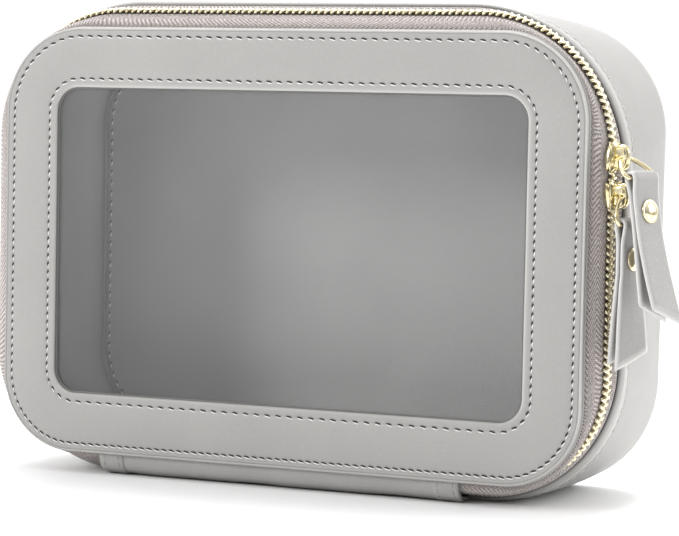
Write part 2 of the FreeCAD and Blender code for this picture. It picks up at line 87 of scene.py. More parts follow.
class Slot(Enum):
    """The record's finishes."""

    LEATHER = "grey_leather"
    PULL_LEATHER = "pull_leather"
    LINING = "lining_cloth"
    VINYL = "clear_vinyl"
    TAPE = "zip_tape"
    COIL = "gold_coil"
    METAL = "gold_metal"
    RIVET = "rivet_metal"


class Facing(Enum):
    """Which way a row of stitches faces."""

    FRONT = "front"
    OUTWARD = "outward"


class Ends(Enum):
    """How the two open ends of a grid of points are closed."""

    NONE = "none"
    ALONG = "along"
    ACROSS = "across"


# ------------------------------------------------------------------ outlines
@dataclass(frozen=True)
class Steps:
    """How finely an outline is divided: each corner, each half of its top and bottom, each side."""

    corner: int
    half_across: int
    upright: int


FINE = Steps(54, 90, 106)
MEDIUM = Steps(30, 40, 48)
COARSE = Steps(16, 18, 22)


@dataclass(frozen=True)
class Ring:
    """Stations round an outline, with their outward normals and their distances along it."""

    points: Array
    normals: Array
    lengths: Array
    total: float

    def stops(self) -> Array:
        """Distances of every station, and of the first again at the end of the round."""
        return np.append(self.lengths, self.total)

    def at(self, distances: Array) -> tuple[Array, Array, Array]:
        """Places on the ring, found by straight interpolation between its stations.

        Args:
            distances: Distances along the ring, from the middle of its bottom, to the right.

        Returns:
            Points, unit outward normals and unit tangents, each as (k, 2) of x and z.
        """
        stops = self.stops()
        wrapped = np.mod(distances, self.total)
        points = np.vstack([self.points, self.points[:1]])
        normals = np.vstack([self.normals, self.normals[:1]])
        out = unit(looked_up(wrapped, stops, normals))
        return looked_up(wrapped, stops, points), out, np.stack([-out[:, 1], out[:, 0]], axis=1)


@dataclass(frozen=True)
class Outline:
    """A rounded rectangle standing upright."""

    half_width: float
    bottom: float
    top: float
    top_radius: float
    bottom_radius: float

    def grown(self, amount: float) -> "Outline":
        """The outline moved outwards.

        Args:
            amount: How far.

        Returns:
            The outline.
        """
        return Outline(
            self.half_width + amount,
            self.bottom - amount,
            self.top + amount,
            self.top_radius + amount,
            self.bottom_radius + amount,
        )

    def mixed(self, other: "Outline", share: float) -> "Outline":
        """The outline that share of the way to another."""
        pairs = zip(self.sizes(), other.sizes())
        return Outline(*[a + (b - a) * share for a, b in pairs])

    def sizes(self) -> tuple[float, float, float, float, float]:
        """All five sizes in order."""
        return (self.half_width, self.bottom, self.top, self.top_radius, self.bottom_radius)

    def ring(self, steps: Steps) -> Ring:
        """Stations from the middle of the bottom, to the right and up, and back down the left.

        The right half is two straight runs and an upright one joined by quarter circles, and the
        left half is its mirror.

        Args:
            steps: How finely each stretch is divided.

        Returns:
            The stations.
        """
        low, high, reach = self.bottom_radius, self.top_radius, self.half_width
        runs = [
            straight((0.0, self.bottom), (reach - low, self.bottom), steps.half_across, -90.0),
            bend((reach - low, self.bottom + low), low, -90.0, steps.corner),
            straight((reach, self.bottom + low), (reach, self.top - high), steps.upright, 0.0),
            bend((reach - high, self.top - high), high, 0.0, steps.corner),
            straight((reach - high, self.top), (0.0, self.top), steps.half_across, 90.0),
            straight((0.0, self.top), (-1.0, self.top), 1, 90.0),
        ]
        points = np.vstack([run[0] for run in runs])
        normals = np.vstack([run[1] for run in runs])
        mirror = np.array([-1.0, 1.0])
        points = np.vstack([points, points[-2:0:-1] * mirror])
        normals = np.vstack([normals, normals[-2:0:-1] * mirror])
        chords = np.linalg.norm(np.roll(points, -1, axis=0) - points, axis=1)
        lengths = np.concatenate([[0.0], np.cumsum(chords)[:-1]])
        return Ring(points, normals, lengths, float(chords.sum()))


def straight(
    start: tuple[float, float], end: tuple[float, float], count: int, facing: float
) -> tuple[Array, Array]:
    """Evenly spaced stations on a straight run.

    Args:
        start: The first station.
        end: Where the run ends, which is left to the next run.
        count: How many stations.
        facing: Direction of their one normal, in degrees.

    Returns:
        Points and normals.
    """
    share = np.arange(count)[:, None] / count
    points = np.array(start) * (1.0 - share) + np.array(end) * share
    angle = math.radians(facing)
    normals = np.tile([math.cos(angle), math.sin(angle)], (count, 1))
    return points, normals


def bend(
    centre: tuple[float, float], radius: float, start: float, count: int
) -> tuple[Array, Array]:
    """Stations on a quarter circle, anticlockwise, leaving out its end.

    Args:
        centre: Middle of the circle.
        radius: Its radius.
        start: Where it starts, in degrees.
        count: How many stations.

    Returns:
        Points and normals.
    """
    angles = np.radians(start + 90.0 * np.arange(count) / count)
    normals = np.stack([np.cos(angles), np.sin(angles)], axis=1)
    return np.array(centre) + radius * normals, normals


def outline_of(node: str, inset: float, top_radius: float, bottom_radius: float) -> Outline:
    """The outline whose outer limits, less an inset, are those of a solid of the frame.

    Args:
        node: Name of the solid.
        inset: How far inside the solid's limits the outline runs.
        top_radius: Radius of the two upper corners.
        bottom_radius: Radius of the two lower corners.

    Returns:
        The outline.
    """
    low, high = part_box(node)
    return Outline(
        high.x / MM - inset, low.z / MM + inset, high.z / MM - inset, top_radius, bottom_radius
    )


# ------------------------------------------------------------------ the case's own outlines
PANEL = outline_of("front_panel", 0.0, 30.0, 27.0)
WINDOW = Outline(
    PANEL.half_width - 20.4, PANEL.bottom + 20.9, PANEL.top - 20.9, 8.4, 8.4
)
CHAIN = outline_of("front_coil", 1.2, 46.0, 40.0)
RIM = outline_of("rim_bead", 1.8, 54.0, 46.0)
BACK = outline_of("back_panel", 0.0, 39.0, 39.0)
CHAIN_SET_BACK = 8.3
RIM_SET_BACK = (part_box("rim_bead")[0].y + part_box("rim_bead")[1].y) / 2 / MM - FRONT_Y
CASE_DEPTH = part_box("back_panel")[1].y / MM - FRONT_Y
HINGE_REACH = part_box("zip_tab_right")[1].x / MM


def depth(set_back: float | Array) -> float | Array:
    """Y of a set-back, in millimetres."""
    return FRONT_Y + set_back


def upright(flat: Array, set_back: float | Array) -> Array:
    """Points of x and z stood up at a set-back, as (..., 3)."""
    y = np.broadcast_to(depth(np.asarray(set_back, float)), flat.shape[:-1])
    return np.stack([flat[..., 0], y, flat[..., 1]], axis=-1)


def unit(vectors: Array) -> Array:
    """Each vector, at length 1."""
    return vectors / np.linalg.norm(vectors, axis=-1, keepdims=True)


def stood(flat: Array) -> Array:
    """Directions of x and z as (k, 3), with no part along y."""
    return np.stack([flat[:, 0], np.zeros(len(flat)), flat[:, 1]], axis=1)


def distances_along(path: Array) -> Array:
    """How far each point of a path is from its first, measured along the path."""
    steps = np.linalg.norm(np.diff(path, axis=0), axis=1)
    return np.concatenate([[0.0], np.cumsum(steps)])


def looked_up(at: Array, stops: Array, values: Array) -> Array:
    """Rows of values given at stops, found at other places by straight interpolation."""
    return np.stack([np.interp(at, stops, values[:, k]) for k in range(values.shape[1])], axis=-1)


def flat_map(grid: Array, along: Array) -> Array:
    """Flat coordinates of a grid: given distances along it, and its mean widths added up across.

    Args:
        grid: Points as (along, across, 3).
        along: Distances of its stations, and of the end.

    Returns:
        Coordinates as (along + 1, across + 1, 2).
    """
    far = np.linalg.norm(np.diff(grid, axis=1), axis=-1).mean(axis=0)
    across = np.concatenate([[0.0], np.cumsum(far), [float(far.sum()) + 1.0]])
    return np.stack(np.meshgrid(along, across, indexing="ij"), axis=-1)


# ------------------------------------------------------------------ surfaces
@dataclass
class Form:
    """A closed surface in millimetres, before it becomes a mesh."""

    points: Array
    faces: list[Face]
    corners: Array
    tags: dict[str, Array] = field(default_factory=dict)

    def moved(self, offset: Array) -> "Form":
        """The form moved by an offset."""
        return Form(self.points + offset, self.faces, self.corners, self.tags)

    def turned(self, axes: Array, origin: Array) -> "Form":
        """The form with its own x, y and z laid along the rows of axes, at an origin."""
        return Form(origin + self.points @ axes, self.faces, self.corners, self.tags)

    def tagged(self, name: str, values: float | Array) -> "Form":
        """The form with one number per point stored under a name."""
        spread = np.broadcast_to(np.asarray(values, float), len(self.points)).copy()
        return Form(self.points, self.faces, self.corners, {**self.tags, name: spread})


def merged(forms: Sequence[Form]) -> Form:
    """Several forms as one, with tags that a form lacks set to 0.

    Args:
        forms: The forms.

    Returns:
        One form.
    """
    names = sorted({name for form in forms for name in form.tags})
    starts = np.cumsum([0] + [len(form.points) for form in forms])
    faces = [[k + int(s) for k in face] for form, s in zip(forms, starts) for face in form.faces]
    tags = {
        name: np.concatenate([f.tags.get(name, np.zeros(len(f.points))) for f in forms])
        for name in names
    }
    points = np.vstack([form.points for form in forms])
    return Form(points, faces, np.vstack([form.corners for form in forms]), tags)


def enclosed(points: Array, quads: Array, rest: list[Face]) -> float:
    """Six times the signed volume inside faces, each fanned into triangles.

    Args:
        points: Every corner.
        quads: Four-sided faces.
        rest: Faces of any number of sides.

    Returns:
        The sum of the triangles' triple products.
    """
    a, b, c, d = (points[quads[:, k]] for k in range(4))
    total = np.einsum("ij,ij->", a, np.cross(b, c)) + np.einsum("ij,ij->", a, np.cross(c, d))
    for face in rest:
        ring = points[face]
        total += np.einsum("j,ij->", ring[0], np.cross(ring[1:-1], ring[2:]))
    return float(total)


def skinned(
    grid: Array,
    *,
    closed: bool = True,
    ends: Ends = Ends.NONE,
    uv: Array | None = None,
    tags: dict[str, Array] | None = None,
) -> Form:
    """Faces over a grid of points: stations along it by points across it.

    Each face joins a point to the next one across, the same one at the next station, and so on.
    The grid always closes across unless its ends across are capped, and the faces are turned
    outwards by the sign of the volume that they enclose.

    Args:
        grid: Points as (along, across, 3).
        closed: Whether the last station joins the first.
        ends: Which open ends get one face each.
        uv: Flat coordinates as (along + 1, across + 1, 2), in millimetres.
        tags: Numbers per point as (along, across).

    Returns:
        The closed form.
    """
    along, across = grid.shape[:2]
    rows = along if closed else along - 1
    columns = across - 1 if ends is Ends.ACROSS else across
    i, j = np.meshgrid(np.arange(rows), np.arange(columns), indexing="ij")
    steps = ((0, 0), (0, 1), (1, 1), (1, 0))
    quads = np.stack(
        [((i + a) % along) * across + (j + b) % across for a, b in steps], axis=-1
    ).reshape(-1, 4)
    rest: list[Face] = []
    if ends is Ends.ALONG:
        last = (along - 1) * across
        rest = [list(range(across - 1, -1, -1)), list(range(last, last + across))]
    if ends is Ends.ACROSS:
        first = [k * across for k in range(along)]
        rest = [first, [k + across - 1 for k in reversed(first)]]
    if uv is None:
        corners = np.zeros((len(quads), 4, 2))
    else:
        corners = np.stack([uv[i + a, j + b] for a, b in steps], axis=-2).reshape(-1, 4, 2)
    points = grid.reshape(-1, 3)
    if enclosed(points, quads, rest) < 0:
        quads, corners = quads[:, ::-1], corners[:, ::-1]
        rest = [face[::-1] for face in rest]
    spare = np.zeros((sum(len(face) for face in rest), 2))
    flat = {name: values.reshape(-1) for name, values in (tags or {}).items()}
    return Form(points, quads.tolist() + rest, np.vstack([corners.reshape(-1, 2), spare]), flat)


def tube(
    path: Array,
    reference: Array,
    width: float | Array,
    height: float | Array,
    sides: int,
    closed: bool,
) -> Form:
    """A rod with an oval section along a path.

    The section's first axis is the part of reference that is square to the path, and its second
    is square to both.

    Args:
        path: Points as (n, 3).
        reference: One direction, or one per point, that is never along the path.
        width: Half the section's size along the first axis.
        height: Half its size along the second axis.
        sides: Points round the section.
        closed: Whether the path closes.

    Returns:
        The rod, with flat coordinates along it and round it.
    """
    if closed:
        run = np.roll(path, -1, axis=0) - np.roll(path, 1, axis=0)
    else:
        run = np.gradient(path, axis=0)
    run = unit(run)
    first = np.broadcast_to(reference, path.shape)
    first = unit(first - run * np.einsum("ij,ij->i", first, run)[:, None])
    second = np.cross(run, first)
    angle = np.arange(sides) * math.tau / sides
    wide = np.broadcast_to(np.asarray(width, float), len(path))[:, None, None]
    tall = np.broadcast_to(np.asarray(height, float), len(path))[:, None, None]
    grid = (
        path[:, None, :]
        + wide * np.cos(angle)[None, :, None] * first[:, None, :]
        + tall * np.sin(angle)[None, :, None] * second[:, None, :]
    )
    far = distances_along(path)
    far = np.append(far, 2 * far[-1] - far[-2])
    girth = math.pi * float(np.mean(wide) + np.mean(tall))
    around = np.linspace(0.0, girth, sides + 1)
    uv = np.stack(np.meshgrid(far, around, indexing="ij"), axis=-1)
    return skinned(grid, closed=closed, ends=Ends.NONE if closed else Ends.ALONG, uv=uv)


def lump(length: float, width: float, height: float, rings: int, sides: int) -> Form:
    """An oval bead along its own x: each ring is a power of the sine of its share of half a turn.

    Args:
        length: Full size along x.
        width: Full size along y.
        height: Full size along z.
        rings: Rings along it.
        sides: Points round each ring.

    Returns:
        The bead, centred on its own origin.
    """
    share = (np.arange(rings) + 0.5) / rings * math.pi
    angle = np.arange(sides) * math.tau / sides
    size = np.sin(share)[:, None] ** 0.6
    grid = np.stack(
        [
            np.broadcast_to(-np.cos(share)[:, None] * length / 2, (rings, sides)),
            size * np.cos(angle)[None, :] * width / 2,
            size * np.sin(angle)[None, :] * height / 2,
        ],
        axis=-1,
    )
    return skinned(grid, closed=False, ends=Ends.ALONG)


def repeated(form: Form, origins: Array, frames: Array) -> Form:
    """One form copied to many places.

    Args:
        form: The form to copy, about its own origin.
        origins: Places as (k, 3).
        frames: For each place, three rows along which the form's own axes lie.

    Returns:
        All copies as one form.
    """
    count, size = len(origins), len(form.points)
    points = origins[:, None, :] + np.einsum("vj,kjl->kvl", form.points, frames)
    faces = [[k + size * copy for k in face] for copy in range(count) for face in form.faces]
    return Form(points.reshape(-1, 3), faces, np.tile(form.corners, (count, 1)))


def ripple(points: Array, size: float, seed: float) -> Array:
    """A gentle unevenness between -1 and 1: the mean of four crossed sine waves in space.

    Args:
        points: Places as (..., 3).
        size: Rough distance between crests.
        seed: Shifts the waves, so that pieces differ.

    Returns:
        One number per place.
    """
    turns = np.array([[1.0, 0.4, 0.3], [-0.5, 0.9, 0.8], [0.7, -0.6, 1.1], [-1.2, -0.3, 0.5]])
    phase = np.einsum("...j,kj->...k", points, turns) * math.tau / size
    return np.sin(phase + seed * np.array([1.0, 2.3, 3.1, 4.7])).mean(axis=-1)


# ------------------------------------------------------------------ from forms to pieces
@dataclass(frozen=True)
class Dress:
    """What a finished piece is made of and which parts of the frame it belongs to."""

    finish: bpy.types.Material
    slot: Slot
    body: Body | None = None
    stands_for: tuple[str, ...] = ()


def piece(name: str, form: Form, dress: Dress) -> bpy.types.Object:
    """Makes a form into an object in metres, and gives it its finish, body and nodes.

    Whatever would reach below the floor is flattened on it.

    Args:
        name: The object's name.
        form: The closed surface, in millimetres.
        dress: Its finish, slot, body and the nodes it stands for.

    Returns:
        The object.
    """
    points = form.points * MM
    points[:, 2] = np.maximum(points[:, 2], 0.0)
    mesh = bpy.data.meshes.new(name)
    mesh.from_pydata(points.tolist(), [], form.faces)
    mesh.polygons.foreach_set("use_smooth", np.ones(len(mesh.polygons), bool))
    layer = mesh.uv_layers.new(name="UVMap")
    layer.data.foreach_set("uv", form.corners.astype(np.float32).reshape(-1))
    for tag, values in form.tags.items():
        attribute = mesh.attributes.new(tag, "FLOAT", "POINT")
        attribute.data.foreach_set("value", values.astype(np.float32))
    mesh.materials.append(dress.finish)
    mesh.update()
    thing = bpy.data.objects.new(name, mesh)
    bpy.context.scene.collection.objects.link(thing)
    if dress.body is not None:
        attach(thing, dress.body.value)
    if dress.stands_for:
        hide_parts(*dress.stands_for)
    LOG.info("%s: %d faces", name, len(form.faces))
    return thing


def pieces(body: Body, table: Sequence[tuple]) -> None:
    """Make pieces of one body from rows of name, form, finish, slot and the nodes stood for."""
    for name, form, finish, slot, *nodes in table:
        piece(name, form, Dress(finish, slot, body, tuple(nodes)))


# ------------------------------------------------------------------ finishes
Colour = tuple[float, float, float]


class Graph:
    """The nodes of one material, with short ways to add and join them."""

    def __init__(self, name: str) -> None:
        """Start a material with a shader and an output.

        Args:
            name: The material's name.
        """
        self.material = bpy.data.materials.new(name)
        self.material.use_nodes = True
        self.tree = self.material.node_tree
        self.shader = self.tree.nodes["Principled BSDF"]

    def node(self, kind: str, inputs: dict[str | int, object] | None = None, **settings) -> object:
        """Add a node.

        Args:
            kind: The node's type, without its "ShaderNode" prefix.
            inputs: Values or sockets for its inputs, by name or number.
            **settings: Properties of the node.

        Returns:
            The node.
        """
        made = self.tree.nodes.new("ShaderNode" + kind)
        for name, value in settings.items():
            setattr(made, name, value)
        for name, value in (inputs or {}).items():
            self.feed(made.inputs[name], value)
        return made

    def feed(self, socket: object, value: object) -> None:
        """Join a socket to another, or set its value.

        Args:
            socket: The input.
            value: A socket or a value.
        """
        if isinstance(value, bpy.types.NodeSocket):
            self.tree.links.new(value, socket)
        else:
            socket.default_value = value

    def math(self, operation: str, *values: object) -> object:
        """The result of a math node."""
        made = self.node("Math", dict(enumerate(values)), operation=operation)
        return made.outputs[0]

    def total(self, first: object, second: object, share: float = 1.0) -> object:
        """The first value plus a share of the second."""
        part = second if share == 1.0 else self.math("MULTIPLY", second, share)
        return self.math("ADD", first, part)

    def wave(self, distance: object, pitch: float) -> object:
        """A sine of a distance, which repeats at a pitch."""
        return self.math("SINE", self.math("MULTIPLY", distance, math.tau / pitch))

    def spread(
        self, value: object, low: float, high: float, start: float = 0.0, end: float = 1.0
    ) -> object:
        """A number that goes from low to high as a value goes from start to end."""
        return self.node("MapRange", {0: value, 1: start, 2: end, 3: low, 4: high}).outputs[0]

    def ramp(self, value: object, low: object, high: object, start: float, end: float) -> object:
        """A colour that goes from low to high as a value goes from start to end."""
        return self.blend(self.spread(value, 0.0, 1.0, start, end), low, high)

    def blend(self, share: object, low: object, high: object) -> object:
        """Two colours mixed.

        Args:
            share: How much of the second.
            low: The first colour.
            high: The second colour.

        Returns:
            The socket of the mixture.
        """
        made = self.node("Mix", data_type="RGBA")
        self.feed(made.inputs[0], share)
        for socket, value in ((made.inputs[6], low), (made.inputs[7], high)):
            self.feed(socket, (*value, 1.0) if isinstance(value, tuple) else value)
        return made.outputs[2]

    def place(self) -> object:
        """The socket of Object coordinates."""
        return self.node("TexCoord").outputs["Object"]

    def noise(self, size: float, detail: float = 3.0, where: object = None) -> object:
        """Noise.

        Args:
            size: Size of its features, in millimetres.
            detail: How much finer noise is added.
            where: Coordinates to use instead of the object's.

        Returns:
            Its socket.
        """
        spot = self.place() if where is None else where
        inputs = {"Vector": spot, "Scale": 1.0 / (size * MM), "Detail": detail}
        return self.node("TexNoise", inputs).outputs[0]

    def tag(self, name: str) -> object:
        """The numbers stored with the mesh under a name."""
        return self.node("Attribute", attribute_name=name).outputs["Fac"]

    def bump(
        self, height: object, distance: float, strength: float, under: object = None
    ) -> object:
        """A bump.

        Args:
            height: Its height, from 0 to 1.
            distance: What a height of 1 is, in millimetres.
            strength: How strongly it is lit.
            under: A coarser bump beneath it.

        Returns:
            The socket of the normal.
        """
        inputs = {"Height": height, "Distance": distance * MM, "Strength": strength}
        if under is not None:
            inputs["Normal"] = under
        return self.node("Bump", inputs).outputs[0]

    def shade(self, **inputs: object) -> None:
        """Set or join the shader's inputs, with underscores for spaces."""
        for name, value in inputs.items():
            value = (*value, 1.0) if isinstance(value, tuple) and len(value) == 3 else value
            self.feed(self.shader.inputs[name.replace("_", " ")], value)


@dataclass(frozen=True)
class Leather:
    """Coated leather: fine pebbled grain, faint mottling, paler rubbed edges that also serve as
    painted highlight, and painted shade in creases and gaps.
    """

    name: str
    colour: Colour
    wear_and_highlight: Colour
    pore_and_shade: Colour
    grain: float = 0.55
    grain_depth: float = 0.03
    grain_strength: float = 0.35
    roughness: float = 0.46
    gloss_spread: float = 0.08
    mottle: float = 0.035
    pores: float = 0.16

    def material(self) -> bpy.types.Material:
        """The finish as a material: grain is cells and finer noise, and the rest are tags."""
        g = Graph(self.name)
        spot = g.place()
        cell = {"Vector": spot, "Scale": 1.0 / (self.grain * MM), "Randomness": 1.0}
        pebble = g.node("TexVoronoi", cell, feature="SMOOTH_F1").outputs["Distance"]
        fine = g.noise(self.grain * 0.45, 2.0, spot)
        height = g.total(g.math("MULTIPLY", pebble, -0.8), fine, 0.7)
        broad = g.noise(38.0, 2.0, spot)
        dark = tuple(c * (1.0 - self.mottle) for c in self.colour)
        light = tuple(min(1.0, c * (1.0 + self.mottle)) for c in self.colour)
        tone = g.ramp(broad, dark, light, 0.3, 0.7)
        pore = g.spread(height, 0.0, self.pores, -0.5, 0.4)
        tone = g.blend(pore, tone, self.pore_and_shade)
        # Paler where tagged wear: rubbed and painted edges, which on the lid and box also serve as
        # painted highlight.
        wear_and_highlight = g.math("MULTIPLY", g.tag("wear"), g.math("ADD", fine, 0.35))
        tone = g.blend(wear_and_highlight, tone, self.wear_and_highlight)
        # Painted shade where tagged, and a near-black painted shadow on the front of the rim roll.
        tone = g.blend(g.tag("crease"), tone, self.pore_and_shade)
        tone = g.blend(g.tag("gap"), tone, tuple(c * 0.05 for c in self.pore_and_shade))
        matt, gloss = self.roughness + self.gloss_spread, self.roughness - self.gloss_spread
        rough = g.spread(g.noise(9.0, 3.0, spot), gloss, matt)
        soft = g.bump(g.noise(14.0, 2.0, spot), 0.12, 0.25)
        normal = g.bump(height, self.grain_depth, self.grain_strength, soft)
        g.shade(Base_Color=tone, Roughness=rough, Normal=normal, Specular_IOR_Level=0.42)
        return g.material


@dataclass(frozen=True)
class Woven:
    """Close plain weave: two sets of threads over the object's own coordinates."""

    name: str
    colour: Colour
    shadow: Colour
    pitch: float = 0.55
    depth: float = 0.08

    def material(self) -> bpy.types.Material:
        """The finish as a material: its height is the product of two sine waves."""
        g = Graph(self.name)
        split = g.node("SeparateXYZ", {0: g.place()})
        across = g.wave(g.math("ADD", split.outputs[0], split.outputs[1]), self.pitch * MM)
        up = g.wave(split.outputs[2], self.pitch * MM)
        weave = g.math("MULTIPLY", across, up)
        slub = g.noise(2.4, 3.0)
        share = g.total(slub, weave, 0.3)
        tone = g.ramp(share, self.shadow, self.colour, 0.1, 0.8)
        tone = g.blend(g.tag("crease"), tone, tuple(c * 0.35 for c in self.colour))
        rough = g.spread(slub, 0.7, 0.92)
        normal = g.bump(weave, self.depth, 0.5)
        g.shade(Base_Color=tone, Roughness=rough, Normal=normal, Sheen_Weight=0.15)
        return g.material


@dataclass(frozen=True)
class Herringbone:
    """Zip tape: ribs that lean one way, then the other, each of fine twisted threads."""

    name: str
    colour: Colour
    shadow: Colour
    shine: Colour
    column: float = 3.3
    rib: float = 1.55
    thread: float = 0.45
    slope: float = 1.35

    def material(self) -> bpy.types.Material:
        """The finish as a material, on flat coordinates in millimetres.

        The distance across folds back and forth over a column, which turns straight slanted ribs
        into chevrons. A rib is a sine of the distance along plus that fold, and a thread is a
        faster sine of the same, crossed by beads.
        """
        g = Graph(self.name)
        split = g.node("SeparateXYZ", {0: g.node("UVMap", uv_map="UVMap").outputs[0]})
        along, across = split.outputs[0], split.outputs[1]
        fold = g.math("PINGPONG", across, self.column)
        lean = g.total(along, fold, self.slope)
        rib = g.wave(lean, self.rib)
        cross = g.math("SUBTRACT", along, g.math("MULTIPLY", fold, 1.0 / self.slope))
        height = g.total(g.math("MULTIPLY", rib, 0.35), g.wave(lean, self.thread), 0.25)
        height = g.total(height, g.wave(cross, self.thread * 1.3), 0.16)
        fuzz = g.noise(0.5, 4.0)
        share = g.total(height, g.math("SUBTRACT", fuzz, 0.5), 1.5)
        tone = g.ramp(share, self.shadow, self.colour, -0.6, 0.15)
        # Painted highlight: the tops of the threads are mixed towards the shine colour, and painted
        # shade is added where tagged.
        glint = g.spread(share, 0.0, 1.0, 0.25, 0.7)
        tone = g.blend(glint, tone, self.shine)
        tone = g.blend(g.tag("crease"), tone, tuple(c * 0.2 for c in self.shadow))
        rough = g.spread(fuzz, 0.62, 0.88)
        normal = g.bump(height, 0.22, 0.7)
        g.shade(Base_Color=tone, Roughness=rough, Normal=normal, Sheen_Weight=0.2)
        return g.material


@dataclass(frozen=True)
class Plated:
    """Plated metal: bright faces, tarnished patches, painted shade in hollows and fine rubbed
    scratches.
    """

    name: str
    colour: Colour
    tarnish: Colour
    roughness: float = 0.14
    metallic: float = 1.0
    scratch: float = 1.2

    def material(self) -> bpy.types.Material:
        """The finish as a material: scratches are noise drawn out along one direction."""
        g = Graph(self.name)
        spot = g.place()
        drawn = g.node("Mapping", {"Vector": spot, "Scale": (1.0, 1.0, 0.12)}).outputs[0]
        lines = g.noise(self.scratch * 0.25, 3.0, drawn)
        patch = g.noise(3.0, 3.0, spot)
        tone = g.ramp(patch, self.tarnish, self.colour, 0.22, 0.5)
        # Painted shade where tagged, in a darkened tarnish colour.
        tone = g.blend(g.tag("crease"), tone, tuple(c * 0.3 for c in self.tarnish))
        share = g.total(g.math("MULTIPLY", lines, 0.6), patch, 0.4)
        rough = g.spread(share, self.roughness * 0.6, self.roughness * 1.5, 0.25, 0.75)
        normal = g.bump(lines, 0.01, 0.15)
        g.shade(Base_Color=tone, Roughness=rough, Normal=normal, Metallic=self.metallic)
        return g.material


@dataclass(frozen=True)
class Thread:
    """Twisted sewing thread."""

    name: str
    colour: Colour
    shadow: Colour
    twist: float = 0.5

    def material(self) -> bpy.types.Material:
        """The finish as a material: slanting ply lines are a sine over all three directions."""
        g = Graph(self.name)
        split = g.node("SeparateXYZ", {0: g.place()})
        total = g.math("ADD", g.math("ADD", split.outputs[0], split.outputs[2]), split.outputs[1])
        ply = g.wave(total, self.twist * MM)
        tone = g.ramp(g.math("ADD", ply, g.noise(0.8)), self.shadow, self.colour, -0.6, 1.0)
        rough = g.spread(ply, 0.5, 0.75, -1.0)
        g.shade(Base_Color=tone, Roughness=rough, Normal=g.bump(ply, 0.05, 0.5))
        return g.material


@dataclass(frozen=True)
class ClearVinyl:
    """Clear flexible sheet: nearly invisible face on, glossier and milkier at a slant."""

    name: str
    colour: Colour
    face: float = 0.02
    slant: float = 0.22

    def material(self) -> bpy.types.Material:
        """The finish as a material: its cover rises with the angle it is seen at."""
        g = Graph(self.name)
        weight = g.node("LayerWeight", {"Blend": 0.35}).outputs["Facing"]
        haze = g.math("MULTIPLY", g.noise(26.0, 3.0), 0.03)
        cover = g.spread(weight, self.face, self.slant)
        rough = g.spread(g.noise(4.0, 4.0), 0.04, 0.12)
        tone = g.ramp(g.noise(60.0), tuple(c * 0.92 for c in self.colour), self.colour, 0.3, 0.7)
        g.shade(Base_Color=tone, Roughness=rough, Alpha=g.math("ADD", cover, haze))
        g.shade(Normal=g.bump(g.noise(22.0, 1.0), 0.4, 0.25), Specular_IOR_Level=0.6)
        return g.material


@dataclass(frozen=True)
class Card:
    """Smooth pale card."""

    name: str
    colour: Colour
    roughness: float = 0.5

    def material(self) -> bpy.types.Material:
        """The finish as a material: hardly visible paper fibre."""
        g = Graph(self.name)
        fibre = g.noise(1.5, 4.0)
        tone = g.ramp(fibre, tuple(c * 0.985 for c in self.colour), self.colour, 0.2, 0.8)
        rough = g.spread(fibre, self.roughness, self.roughness + 0.06)
        g.shade(Base_Color=tone, Roughness=rough, Specular_IOR_Level=0.35)
        return g.material


@dataclass(frozen=True)
class Wardrobe:
    """Every finish, made once."""

    leather: bpy.types.Material
    pull: bpy.types.Material
    lining: bpy.types.Material
    tape: bpy.types.Material
    coil: bpy.types.Material
    metal: bpy.types.Material
    rivet: bpy.types.Material
    thread: bpy.types.Material
    needle: bpy.types.Material
    vinyl: bpy.types.Material


def wardrobe() -> Wardrobe:
    """Make every finish."""
    # pale is the rubbed-edge colour and the painted highlight; deep is the pore colour, the painted
    # shade and, much darkened, the painted gap shadow.
    grey, pale, deep = (0.352, 0.345, 0.334), (0.60, 0.59, 0.575), (0.13, 0.125, 0.12)
    return Wardrobe(
        leather=Leather("coated_leather", grey, pale, deep).material(),
        pull=Leather(
            "pull_leather", (0.38, 0.372, 0.362), (0.64, 0.63, 0.615), (0.18, 0.175, 0.17),
            grain=0.42, grain_depth=0.1, grain_strength=0.8, roughness=0.38, pores=0.5,
        ).material(),
        # The lining's last colour, near black, is its pore colour and the painted shade of its
        # corner and seam.
        lining=Leather(
            "smooth_lining", (0.34, 0.34, 0.335), (0.45, 0.45, 0.44), (0.05, 0.05, 0.05),
            grain=0.8, grain_depth=0.012, grain_strength=0.1, roughness=0.6, pores=0.06,
        ).material(),
        # The tape's last colour is painted highlight for the tops of its threads.
        tape=Herringbone(
            "herringbone_tape", (0.47, 0.415, 0.395), (0.12, 0.10, 0.096), (0.9, 0.86, 0.84)
        ).material(),
        coil=Plated(
            "zip_plating", (0.87, 0.80, 0.60), (0.50, 0.42, 0.25), roughness=0.26, metallic=0.85
        ).material(),
        metal=Plated("slider_plating", (0.83, 0.74, 0.48), (0.40, 0.33, 0.14), 0.13).material(),
        rivet=Plated("rivet_plating", (0.80, 0.72, 0.50), (0.50, 0.42, 0.22), 0.16).material(),
        thread=Thread("sewing_thread", (0.86, 0.85, 0.83), (0.6, 0.59, 0.58)).material(),
        # Near-black needle holes: painted shade for the dark inside each hole.
        needle=Woven("needle_hole_shade", (0.035, 0.03, 0.03), (0.012, 0.01, 0.01)).material(),
        vinyl=ClearVinyl("clear_vinyl", (0.86, 0.86, 0.865)).material(),
    )


